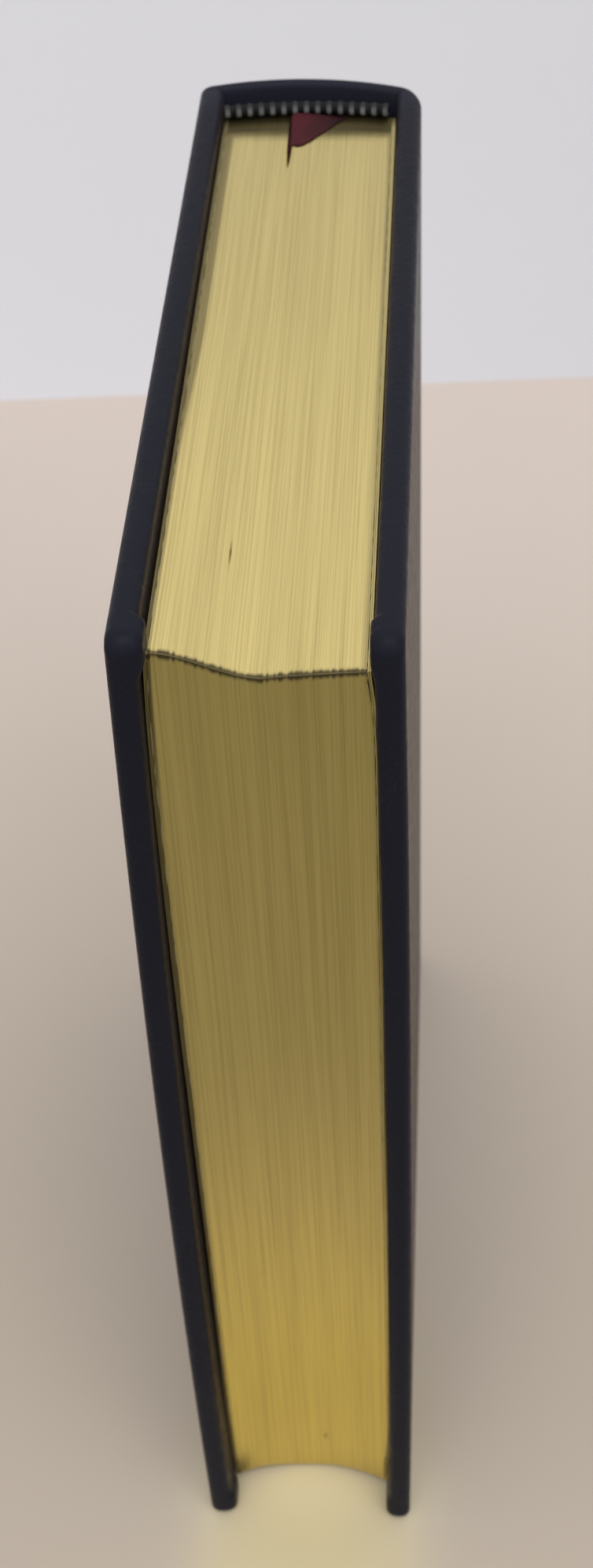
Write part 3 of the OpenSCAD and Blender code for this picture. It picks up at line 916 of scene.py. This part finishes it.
LEAF_T = 0.16
LEAF_GAPS = (0.03, 0.22, 0.41)
LEAF_WAVE = 0.35
GILT_RIM = 0.0015


def leaf_sheet(side, gap, seed):
    """One loose leaf beside the block, and where it is gilt.

    Its outline is filled with a grid that has a line close to each edge, so that only the edge is gilt. It
    fans out with the outer pages and waves a little at the fore-edge.
    """
    u = 0.5 + side * (0.5 + gap / TEXT_T)
    corners = leaf_corners(np.array([u]))[0]
    lines = np.concatenate([[0], np.linspace(GILT_RIM, 1 - GILT_RIM, 48), [1]])
    s, t = np.meshgrid(lines, lines, indexing="ij")
    s, t = s[..., None], t[..., None]
    low = corners[0] * (1 - s) + corners[1] * s
    high = corners[3] * (1 - s) + corners[2] * s
    outline = low * (1 - t) + high * t
    wave = side * gap * s ** 2 * LEAF_WAVE * np.sin(7 * t + seed)
    fan = leaf_spread(u, outline[..., :1], outline[..., 1:])
    near = np.concatenate([(u - 0.5) * TEXT_T + (wave + fan), outline], axis=-1)
    sheets = closed_sheet(near, near + np.array([side * LEAF_T, 0, 0]))
    gilt = ((s == 1) | (t == 0) | (t == 1))[..., 0].astype(float)
    return sheets, [gilt, gilt] + [np.ones(sheet[0].shape[:2]) for sheet in sheets[2:]]


# Materials

# Dark tone towards which the painted shade on the white silk and on the ribbon falls
DIM_THREAD = (0.006, 0.006, 0.006)
# Painted shade of the floor towards the viewer, and a painted glow and sheen before the fore-edge
FLOOR_FRONT = (0.25, 0.23, 0.165)
FLOOR_MIDDLE = (0.32, 0.29, 0.21)
FLOOR_GLOW = (0.66, 0.57, 0.335)
FLOOR_SHEEN = (0.95, 0.84, 0.62)
FLOOR_CLOUD = (0.4, 0.36, 0.32)
GLOW_HALF = 0.023
# Painted light: the wall grows towards this tone above the book
WALL_TOP = (0.97, 0.97, 0.97)
WALL_CLOUD = (0.6, 0.6, 0.62)
BOARD_GREY = (0.25, 0.21, 0.16)
CARD_BROWN = (0.35, 0.28, 0.17)
LINING_PALE = (0.6, 0.55, 0.45)


class Wiring:
    """Small help for wiring shader nodes."""

    def __init__(self, tree):
        self.tree = tree

    def add(self, kind, **settings):
        """A node with settings by attribute name."""
        node = self.tree.nodes.new(kind)
        for key, value in settings.items():
            setattr(node, key, value)
        return node

    def link(self, source, target):
        self.tree.links.new(source, target)

    def feed(self, socket, value):
        """Links a socket to another, or sets it to a constant."""
        if isinstance(value, bpy.types.NodeSocket):
            self.link(value, socket)
        else:
            socket.default_value = value

    def fill(self, node, values):
        """Feeds several inputs of a node, given by name or number."""
        for key, value in values.items():
            self.feed(node.inputs[key], value)
        return node

    def object_place(self):
        return self.add("ShaderNodeTexCoord").outputs["Object"]

    def axes(self):
        """X, Y and Z of the object coordinates."""
        return self.fill(self.add("ShaderNodeSeparateXYZ"), {0: self.object_place()}).outputs

    def noise(self, vector, scale, detail=2.0, rough=0.5):
        values = {"Vector": vector, "Scale": scale, "Detail": detail, "Roughness": rough}
        return self.fill(self.add("ShaderNodeTexNoise"), values).outputs["Fac"]

    def spread(self, value, low, high, out_low=0.0, out_high=1.0):
        """Takes low to out_low and high to out_high, and holds both ends."""
        values = {"Value": value, "From Min": low, "From Max": high, "To Min": out_low, "To Max": out_high}
        return self.fill(self.add("ShaderNodeMapRange", clamp=True), values).outputs["Result"]

    def math(self, operation, a, b):
        return self.fill(self.add("ShaderNodeMath", operation=operation), {0: a, 1: b}).outputs[0]

    def plus(self, a, b):
        return self.math("ADD", a, b)

    def times(self, a, b):
        return self.math("MULTIPLY", a, b)

    def mix(self, share, a, b):
        return self.fill(self.add("ShaderNodeMix", data_type="RGBA"), {0: share, 6: a, 7: b}).outputs[2]

    def mark(self, name):
        return self.add("ShaderNodeAttribute", attribute_name=name).outputs["Fac"]

    def bump(self, height, strength, distance):
        values = {"Strength": strength, "Distance": distance, "Height": height}
        return self.fill(self.add("ShaderNodeBump"), values).outputs["Normal"]


def four(colour, share=1.0):
    """Colour with alpha, made darker by a share."""
    return (colour[0] * share, colour[1] * share, colour[2] * share, 1.0)


def new_group(name, inputs, outputs):
    """Empty shader group with named float inputs and float outputs."""
    group = bpy.data.node_groups.new(name, "ShaderNodeTree")
    for label, default in inputs:
        socket = group.interface.new_socket(name=label, in_out="INPUT", socket_type="NodeSocketFloat")
        socket.default_value = default
    for label in outputs:
        group.interface.new_socket(name=label, in_out="OUTPUT", socket_type="NodeSocketFloat")
    wires = Wiring(group)
    return wires, wires.add("NodeGroupInput"), wires.add("NodeGroupOutput")


def scaled_place(wires, given):
    """Object coordinates times the group's Scale."""
    sized = wires.add("ShaderNodeVectorMath", operation="SCALE")
    return wires.fill(sized, {0: wires.object_place(), "Scale": given.outputs["Scale"]}).outputs[0]


def grain_group():
    """Fine leather grain: small cells with soft creases, as a height and as a mask of the rubbed tops."""
    wires, given, out = new_group("Leather grain", [("Scale", 1.0)], ["Height", "Tops"])
    place = scaled_place(wires, given)
    cells = wires.add("ShaderNodeTexVoronoi", feature="SMOOTH_F1")
    distance = wires.fill(cells, {"Vector": place, "Scale": 1150.0, "Smoothness": 0.6}).outputs["Distance"]
    creases = wires.times(wires.noise(place, 420.0, 4.0, 0.6), 0.7)
    patches = wires.noise(place, 60.0, 3.0, 0.6)
    wires.fill(out, {
        "Height": wires.math("SUBTRACT", creases, wires.times(distance, 0.8)),
        "Tops": wires.times(wires.spread(distance, 0.45, 0.1), wires.spread(patches, 0.42, 0.72)),
    })
    return wires.tree


def leaf_line_group():
    """Lines of the leaves' edges: noise drawn out along them, as wide streaks, fine lines and a height."""
    wires, given, out = new_group("Leaf lines", [("Along", 6.0)], ["Streaks", "Lines", "Height"])
    axes = wires.axes()

    def drawn(across, along_share):
        along = wires.times(given.outputs["Along"], along_share)
        places = {k: wires.times(axes[k], factor) for k, factor in enumerate((across, along, along))}
        return wires.fill(wires.add("ShaderNodeCombineXYZ"), places).outputs[0]

    streaks = wires.noise(drawn(480.0, 1.0), 1.0, 3.0, 0.6)
    lines = wires.noise(drawn(3600.0, 3.0), 1.0, 3.0, 0.6)
    hair = wires.noise(drawn(8500.0, 12.0), 1.0, 2.0, 0.6)
    height = wires.plus(wires.times(streaks, 0.8), wires.times(lines, 0.6))
    height = wires.plus(height, wires.times(hair, 0.35))
    wires.fill(out, {"Streaks": streaks, "Lines": lines, "Height": height})
    return wires.tree


def fibre_group():
    """Paper and board fibres: cloudy tone and a fine tooth."""
    wires, given, out = new_group("Paper fibres", [("Scale", 1.0)], ["Cloud", "Tooth"])
    place = scaled_place(wires, given)
    cloud = wires.noise(place, 40.0, 5.0, 0.6)
    tooth = wires.noise(place, 2400.0, 3.0, 0.6)
    wires.fill(out, {"Cloud": cloud, "Tooth": tooth})
    return wires.tree


SHARED = {}


def shared(name, maker):
    """A shader group or material, made the first time that it is asked for."""
    if name not in SHARED:
        SHARED[name] = maker()
    return SHARED[name]


def new_material(name):
    """Material with its wiring and its shader joined to the output."""
    material = bpy.data.materials.new(name)
    material.use_nodes = True
    material.node_tree.nodes.clear()
    wires = Wiring(material.node_tree)
    shader = wires.add("ShaderNodeBsdfPrincipled")
    wires.link(shader.outputs[0], wires.add("ShaderNodeOutputMaterial").inputs[0])
    return material, wires, shader


def place_group(wires, tree, **values):
    return wires.fill(wires.add("ShaderNodeGroup", node_tree=tree), values)


def gilt_material(name, pages, paper):
    """Gilding over the page edges, browned by marks on the mesh that hold stains and painted shade, with bare
    paper where it isn't gilt.
    """
    material, wires, shader = new_material(name)
    lines = place_group(wires, shared("lines", leaf_line_group), Along=6.0)
    streaks = wires.spread(lines.outputs["Streaks"], 0.62, 0.36, 0, 0.18)
    dark_lines = wires.spread(lines.outputs["Lines"], 0.56, 0.36, 0, 0.5)
    # Painted reflection: the gold grows warmer towards the foot, for the warm floor that it mirrors
    foot = wires.spread(wires.axes()[2], 0.13, 0.045)
    clean = wires.mix(foot, four(pages.gold), four(pages.foot_reflection_gold))
    gold = wires.mix(wires.plus(streaks, dark_lines), clean, four(pages.dull_gold))
    gold = wires.mix(wires.mark("stains_and_shade"), gold, four(pages.stains_and_shade))
    satin = wires.spread(lines.outputs["Lines"], 0.3, 0.7, 0.27, 0.18)
    rough = wires.plus(satin, wires.times(wires.mark("stains_and_shade"), 0.3))
    bare = wires.times(wires.math("SUBTRACT", 1.0, wires.mark("gilt")), 0.5)
    wires.fill(shader, {
        "Base Color": wires.mix(wires.mark("gilt"), four(paper), gold),
        "Metallic": wires.times(wires.mark("gilt"), 1.0),
        "Roughness": wires.plus(rough, bare),
        "Normal": wires.bump(lines.outputs["Height"], 0.22, 0.00012),
    })
    return material


def leather_material(leather):
    """Blue-black grained leather, its grain's tops paler from rubbing on the edges, and painted paler at the
    spine, a painted light that lifts the shade on the spine's rim.
    """
    material, wires, shader = new_material("cover_leather")
    grain = place_group(wires, shared("grain", grain_group), Scale=1.0)
    rub_and_shade = wires.plus(wires.times(wires.mark("rub"), 0.5), 0.25)
    share = wires.times(grain.outputs["Tops"], rub_and_shade)
    # Painted light: paler leather past the joints, lifting the shade on the spine's rim
    painted_spine_light = wires.spread(wires.axes()[1], (COVER_END - 2) * MM, (COVER_END + 4) * MM)
    dye = wires.mix(painted_spine_light, four(leather.colour), four(leather.colour, leather.painted_spine_light))
    scuffs = wires.noise(wires.object_place(), 520.0, 5.0, 0.7)
    wires.fill(shader, {
        "Base Color": wires.mix(share, dye, four(leather.wear_and_shade)),
        "Roughness": wires.spread(scuffs, 0.35, 0.65, 0.46, 0.28),
        "Specular IOR Level": 0.04,
        "Sheen Weight": 0.04,
        "Sheen Roughness": 0.3,
        "Sheen Tint": (1.0, 0.68, 0.38, 1),
        "Normal": wires.bump(grain.outputs["Height"], 0.22, 0.0002),
    })
    return material


def paper_material(name, colour, scale=1.0, rough=0.75, paste_shade=None):
    """Cloudy paper, board or lining with a fine tooth, darkened with painted shade by marks on the mesh if a
    shade colour is given.
    """
    material, wires, shader = new_material(name)
    fibres = place_group(wires, shared("fibres", fibre_group), Scale=scale)
    cloud = wires.spread(fibres.outputs["Cloud"], 0.35, 0.65)
    tone = wires.mix(cloud, four(colour, 0.85), four(colour))
    if paste_shade:
        tone = wires.mix(wires.mark("paste_shade"), tone, four(paste_shade))
    tooth = fibres.outputs["Tooth"]
    wires.fill(shader, {
        "Base Color": tone,
        "Roughness": wires.spread(tooth, 0.3, 0.7, rough, rough + 0.12),
        "Normal": wires.bump(tooth, 0.25, 0.0001),
    })
    return material


def thread_material(name, colour, across, along, rough, dim=None):
    """Silk or satin: fine threads along the piece's own UV map, with slow changes of tone.

    dim gives painted shade: an axis, two places along it in millimetres, and a share. From the first place to
    the second the colour falls by that share.
    """
    material, wires, shader = new_material(name)
    unwrapped = wires.add("ShaderNodeUVMap", uv_map="UVMap").outputs[0]
    mapping = wires.fill(wires.add("ShaderNodeMapping"), {"Vector": unwrapped, "Scale": (across, along, 1)})
    weave = wires.noise(mapping.outputs[0], 1.0, 2.0, 0.5)
    cloud = wires.spread(wires.noise(wires.object_place(), 220.0, 3.0, 0.6), 0.35, 0.65)
    tone = wires.mix(cloud, four(colour, 0.7), four(colour))
    if dim:
        axis, start, end, share = dim
        fall = wires.spread(wires.axes()[axis], start * MM, end * MM, 0, share)
        tone = wires.mix(fall, tone, four(DIM_THREAD))
    wires.fill(shader, {
        "Base Color": tone,
        "Roughness": wires.spread(weave, 0.3, 0.7, rough, rough + 0.15),
        "Specular IOR Level": 0.16,
        "Normal": wires.bump(weave, 0.3, 0.00008),
    })
    return material


def floor_material(stage):
    """Pale floor, brighter towards the wall: painted shade darkens it towards the viewer, and a painted glow
    and sheen stand for warm light thrown back by the gilding before the book.
    """
    material, wires, shader = new_material("floor_paint")
    axes = wires.axes()
    depth = axes[1]
    # Painted shade: the floor darkens towards the viewer
    front = wires.mix(wires.spread(depth, -0.34, -0.17), four(FLOOR_FRONT), four(FLOOR_MIDDLE))
    shade = wires.mix(wires.spread(depth, -0.17, -0.10), front, four(stage.floor_near))
    tone = wires.mix(wires.spread(depth, -0.05, 0.32), shade, four(stage.floor_far))
    across = wires.math("POWER", wires.math("DIVIDE", axes[0], GLOW_HALF), 4.0)

    def patch(shift, reach):
        """Soft patch as wide as the pages, whose middle lies at a distance before the fore-edge."""
        along = wires.math("DIVIDE", wires.plus(depth, shift - Y_FORE * MM), reach)
        both = wires.plus(across, wires.math("POWER", along, 2.0))
        return wires.math("POWER", math.e, wires.times(both, -1.0))

    # Painted glow and sheen of warm light thrown back by the gilding before the fore-edge
    tone = wires.mix(wires.times(patch(0.002, 0.045), 0.8), tone, four(FLOOR_GLOW))
    tone = wires.mix(wires.times(patch(-0.008, 0.009), 0.35), tone, four(FLOOR_SHEEN))
    cloud = wires.spread(wires.noise(wires.object_place(), 9.0, 3.0, 0.5), 0.3, 0.7, 0, 0.06)
    tone = wires.mix(cloud, tone, four(FLOOR_CLOUD))
    wires.fill(shader, {"Base Color": tone, "Roughness": 0.7, "Specular IOR Level": 0.2})
    return material


def wall_material(stage):
    """Pale wall with painted light that makes it brighter above the book.

    Its faces point away from the book, and seen from that side it is clear.
    """
    material, wires, shader = new_material("wall_paint")
    clear = wires.fill(wires.add("ShaderNodeMixShader"), {
        0: wires.add("ShaderNodeNewGeometry").outputs["Backfacing"],
        1: wires.add("ShaderNodeBsdfTransparent").outputs[0],
        2: shader.outputs[0],
    })
    wires.link(clear.outputs[0], material.node_tree.get_output_node("ALL").inputs[0])
    axes = wires.axes()
    side = wires.spread(axes[0], -0.2, 0.12)
    side = wires.mix(side, four(stage.wall, 1.07), four(stage.wall, 0.97))
    tone = wires.mix(wires.spread(axes[2], 0.15, 0.6), side, four(WALL_TOP))
    cloud = wires.spread(wires.noise(wires.object_place(), 5.0, 3.0, 0.5), 0.3, 0.7, 0, 0.05)
    tone = wires.mix(cloud, tone, four(WALL_CLOUD))
    wires.fill(shader, {"Base Color": tone, "Roughness": 0.8, "Specular IOR Level": 0.2})
    return material


# Operators

def sides(leather):
    """Name and bow of each cover, and whether it is the mirrored one."""
    return ("front", leather.front_bow, False), ("back", leather.back_bow, True)


class BOOK_OT_pages(Operator):
    """Build the gilt block of pages"""

    bl_idname = "book.pages"
    bl_label = "Pages"

    def execute(self, context):
        scene = context.scene
        sheets, marks = page_surface(scene.book_pages)
        material = gilt_material("gilt_pages", scene.book_pages, scene.book_trim.endpaper)
        pages = build_piece("gilt_page_block", sheets, material, marks=marks)
        settle(pages, "book_block", "gilt_pages", "text_block")
        return {"FINISHED"}


class BOOK_OT_endpapers(Operator):
    """Build the free endpapers that stand open beside the pages, and the pastedowns"""

    bl_idname = "book.endpapers"
    bl_label = "Endpapers"

    def execute(self, context):
        scene = context.scene
        material = gilt_material("endpaper_leaves", scene.book_pages, scene.book_trim.endpaper)
        # Painted shade on the loose leaves' gilt edges, heavier by the front cover
        for node, side, leaf_shade in (("front_flyleaf", -1, 0.65), ("back_flyleaf", 1, 0.12)):
            sheets, gilt = [], []
            for k, gap in enumerate(LEAF_GAPS):
                leaf, marked = leaf_sheet(side, gap, k + 1)
                sheets += leaf
                gilt += marked
            marks = {"gilt": gilt, "stains_and_shade": [leaf_shade * g for g in gilt]}
            piece = build_piece(node + "_leaves", sheets, material, marks=marks, crease=40)
            settle(piece, "book_block", "endpaper", node)
        # The pasted paper is darkened near the turn-ins with painted shade
        paste = paper_material("pastedown_paper", scene.book_trim.endpaper, paste_shade=scene.book_trim.paste_shade)
        for side, bow, flip in sides(scene.book_leather):
            sheets = side_sheet(pastedown_faces(bow), flip)
            marks = {"paste_shade": [pastedown_shade(sheet[0]) for sheet in sheets]}
            piece = build_piece(side + "_pastedown_paper", sheets, paste, marks=marks, crease=40)
            settle(piece, side + "_cover", "endpaper", side + "_pastedown")
        return {"FINISHED"}


class BOOK_OT_covers(Operator):
    """Build the leather of both covers with its round edges and gathered corners"""

    bl_idname = "book.covers"
    bl_label = "Covers"

    def execute(self, context):
        leather = context.scene.book_leather
        material = shared("leather", lambda: leather_material(leather))
        for side, bow, flip in sides(leather):
            outer, inner, end, rub = cover_surfaces(bow, PLEATS[side])
            sheets = [(mirrored(s, flip), False, False) for s in (outer, inner, end)]
            marks = {"rub": [rub, rub, np.zeros(end.shape[:2])]}
            piece = build_piece(side + "_cover_skin", sheets, material, weld=0.002, marks=marks, crease=50)
            settle(piece, side + "_cover", "leather", side + "_cover_leather")
        return {"FINISHED"}


class BOOK_OT_spine(Operator):
    """Build the rounded leather spine with its turned-in head and tail"""

    bl_idname = "book.spine"
    bl_label = "Spine"

    def execute(self, context):
        leather = context.scene.book_leather
        material = shared("leather", lambda: leather_material(leather))
        sheets, marks = spine_surface()
        piece = build_piece("spine_skin", sheets, material, marks=marks, crease=50)
        settle(piece, "book_block", "leather", "spine_leather")
        return {"FINISHED"}


class BOOK_OT_joints(Operator):
    """Build the leather and endpaper at the joint where each cover opens"""

    bl_idname = "book.joints"
    bl_label = "Joints"

    def execute(self, context):
        scene = context.scene
        leather = shared("leather", lambda: leather_material(scene.book_leather))
        paper = paper_material("hinge_paper", scene.book_trim.endpaper, paste_shade=scene.book_trim.paste_shade)
        for side, flip in (("front", False), ("back", True)):
            sheets = side_sheet(hinge_leather_faces(), flip)
            strip = build_piece(side + "_hinge_leather", sheets, leather, crease=40)
            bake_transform(strip)
            sheets = side_sheet(hinge_paper_faces(), flip)
            marks = {"paste_shade": [hinge_paste_shade(sheet[0]) for sheet in sheets]}
            fold = build_piece(side + "_hinge_paper", sheets, paper, marks=marks, crease=60)
            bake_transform(fold)
        return {"FINISHED"}


class BOOK_OT_bands(Operator):
    """Build the striped silk bands at the head and tail of the spine"""

    bl_idname = "book.bands"
    bl_label = "End bands"

    def execute(self, context):
        trim = context.scene.book_trim
        dark = thread_material("dark_silk", trim.dark_silk, 4, 900, 0.5)
        top = Z_HEAD + BAND_LIFT + 2 * BAND_R
        # Painted shade at the top of the head band's white windings, under the spine's rim
        dim = (2, top - 1.0, top - 0.1, 0.85)
        white = thread_material("white_silk", trim.white_silk, 4, 60, 0.55, dim=dim)
        for end, rise, at_head in (("head", HEAD_ROUND, True), ("tail", TAIL_ROUND, False)):
            core = build_piece(end + "_band_core", dark_band(rise, at_head), dark, crease=60)
            settle(core, "book_block", "dark_silk", end + "_band")
            wraps = build_piece(end + "_band_windings", white_windings(trim.wraps, rise, at_head), white)
            settle(wraps, "book_block", "white_silk", end + "_band_white_silk")
        return {"FINISHED"}


class BOOK_OT_ribbon(Operator):
    """Build the ribbon marker folded into the pages"""

    bl_idname = "book.ribbon"
    bl_label = "Ribbon"

    def execute(self, context):
        trim = context.scene.book_trim
        upper, lower, length = ribbon_faces()
        # Painted shade: the ribbon darkens towards its right wing, which lies in shade
        wear_and_shade = (0, RIBBON_X + 1.0, RIBBON_X + RIBBON_REACH, 0.75)
        material = thread_material("ribbon_satin", trim.ribbon, 60, 2200, 0.55, dim=wear_and_shade)
        piece = build_piece("ribbon_satin_marker", closed_sheet(upper, lower), material, crease=60)
        settle(piece, "book_block", "ribbon", "ribbon_marker")
        return {"FINISHED"}


class BOOK_OT_inside(Operator):
    """Give the boards, inlay and lining inside the case their finish"""

    bl_idname = "book.inside"
    bl_label = "Boards and lining"

    def execute(self, context):
        board = paper_material("binder_board", BOARD_GREY, 2.0, 0.8)
        card = paper_material("spine_card", CARD_BROWN, 2.0, 0.8)
        lining = paper_material("lining_cloth", LINING_PALE, 1.5, 0.8)
        for side, bow, flip in sides(context.scene.book_leather):
            sheets = side_sheet(board_faces(bow), flip)
            piece = build_piece(side + "_bowed_board", sheets, board, crease=40)
            settle(piece, side + "_cover", "board", side + "_board")
        for node, material in (("spine_inlay", card), ("spine_lining", lining)):
            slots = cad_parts[node].data.materials
            slots.clear()
            slots.append(material)
        return {"FINISHED"}


class BOOK_OT_stage(Operator):
    """Build the floor, wall, light and camera"""

    bl_idname = "book.stage"
    bl_label = "Stage"

    FLOOR_HALF = 2500.0
    WALL_DISTANCE = 409.12
    WALL_TURN = 0.0695
    WALL_X = -24.9
    WALL_H = 1400.0
    EYE = (25.365, -227.857, 428.029)
    EYE_RIGHT = (0.99785455, 0.0538853, -0.03718432)
    EYE_UP = (-0.01051885, 0.69253675, 0.72130591)
    LAMP_PLACE = (0.15, -0.75, 1.45)
    LAMP_SIZE = (1.3, 0.9)

    def surface(self, name, points, material):
        piece = build_piece(name, [(points, False, False)], material)

    def room(self, stage):
        """Floor, and a wall that stands a little askew behind the book."""
        half = self.FLOOR_HALF
        x, y = np.meshgrid([-half, 0, half], [-half, 0, half], indexing="ij")
        self.surface("floor", np.stack([x, y, 0 * x], axis=-1), floor_material(stage))
        x, z = np.meshgrid([-half, 0, half], [-2, self.WALL_H / 2, self.WALL_H], indexing="ij")
        y = Y_FORE + self.WALL_DISTANCE + self.WALL_TURN * (x - self.WALL_X)
        self.surface("wall", np.stack([x, y, z], axis=-1), wall_material(stage))

    def light(self, scene, stage):
        """Even light of the room and one large soft lamp above the viewer."""
        world = scene.world or bpy.data.worlds.new("room")
        scene.world = world
        world.use_nodes = True
        background = world.node_tree.nodes["Background"]
        background.inputs["Color"].default_value = (0.97, 0.985, 1.0, 1)
        background.inputs["Strength"].default_value = stage.sky
        data = bpy.data.lights.new("soft_lamp", "AREA")
        data.energy = stage.lamp
        data.shape = "RECTANGLE"
        data.size, data.size_y = self.LAMP_SIZE
        lamp = bpy.data.objects.new("soft_lamp", data)
        lamp.location = self.LAMP_PLACE
        lamp.rotation_euler = (Vector((0, 0.1, 0.1)) - lamp.location).to_track_quat("-Z", "Y").to_euler()
        scene.collection.objects.link(lamp)

    def eye(self, scene, stage):
        """Camera in front of the fore-edge, above the book, tilted a little."""
        data = bpy.data.cameras.new("camera")
        data.lens = stage.lens
        data.sensor_width = 36
        data.clip_start = 0.01
        camera = bpy.data.objects.new("camera", data)
        right, up = Vector(self.EYE_RIGHT), Vector(self.EYE_UP)
        turn = Matrix((right, up, right.cross(up))).transposed().to_4x4()
        place = Vector(self.EYE) + Vector((0, Y_FORE, 0))
        camera.matrix_world = Matrix.Translation(place * MM) @ turn
        scene.collection.objects.link(camera)
        scene.camera = camera
        focus = bpy.data.objects.new("focus", None)
        focus.location = (0, Y_FORE * MM, Z_HEAD * MM)
        scene.collection.objects.link(focus)
        data.dof.use_dof = True
        data.dof.focus_object = focus
        data.dof.aperture_fstop = stage.aperture

    def execute(self, context):
        scene = context.scene
        self.room(scene.book_stage)
        self.light(scene, scene.book_stage)
        self.eye(scene, scene.book_stage)
        scene.view_settings.view_transform = "Standard"
        return {"FINISHED"}


class BOOK_PT_panel(Panel):
    """Lists the book's pieces and settings"""

    bl_idname = "BOOK_PT_panel"
    bl_label = "Book"
    bl_space_type = "VIEW_3D"
    bl_region_type = "UI"
    bl_category = "Book"

    def draw(self, context):
        for operator in OPERATORS:
            self.layout.operator(operator.bl_idname)
        for name, group in SETTINGS.items():
            box = self.layout.box()
            for key in group.__annotations__:
                box.prop(getattr(context.scene, name), key)


OPERATORS = (
    BOOK_OT_pages, BOOK_OT_covers, BOOK_OT_spine, BOOK_OT_joints, BOOK_OT_endpapers, BOOK_OT_bands,
    BOOK_OT_ribbon, BOOK_OT_inside, BOOK_OT_stage,
)
SETTINGS = {
    "book_pages": PageSettings, "book_leather": LeatherSettings, "book_trim": TrimSettings,
    "book_stage": StageSettings,
}


def register():
    for item in (*SETTINGS.values(), *OPERATORS, BOOK_PT_panel):
        bpy.utils.register_class(item)
    for name, group in SETTINGS.items():
        setattr(bpy.types.Scene, name, PointerProperty(type=group))


def unregister():
    for name in SETTINGS:
        delattr(bpy.types.Scene, name)
    for item in (BOOK_PT_panel, *reversed(OPERATORS), *reversed(tuple(SETTINGS.values()))):
        bpy.utils.unregister_class(item)


def main():
    register()
    bpy.ops.book.pages()
    bpy.ops.book.covers()
    bpy.ops.book.spine()
    bpy.ops.book.joints()
    bpy.ops.book.endpapers()
    bpy.ops.book.bands()
    bpy.ops.book.ribbon()
    bpy.ops.book.inside()
    bpy.ops.book.stage()


if __name__ == "__main__":
    main()
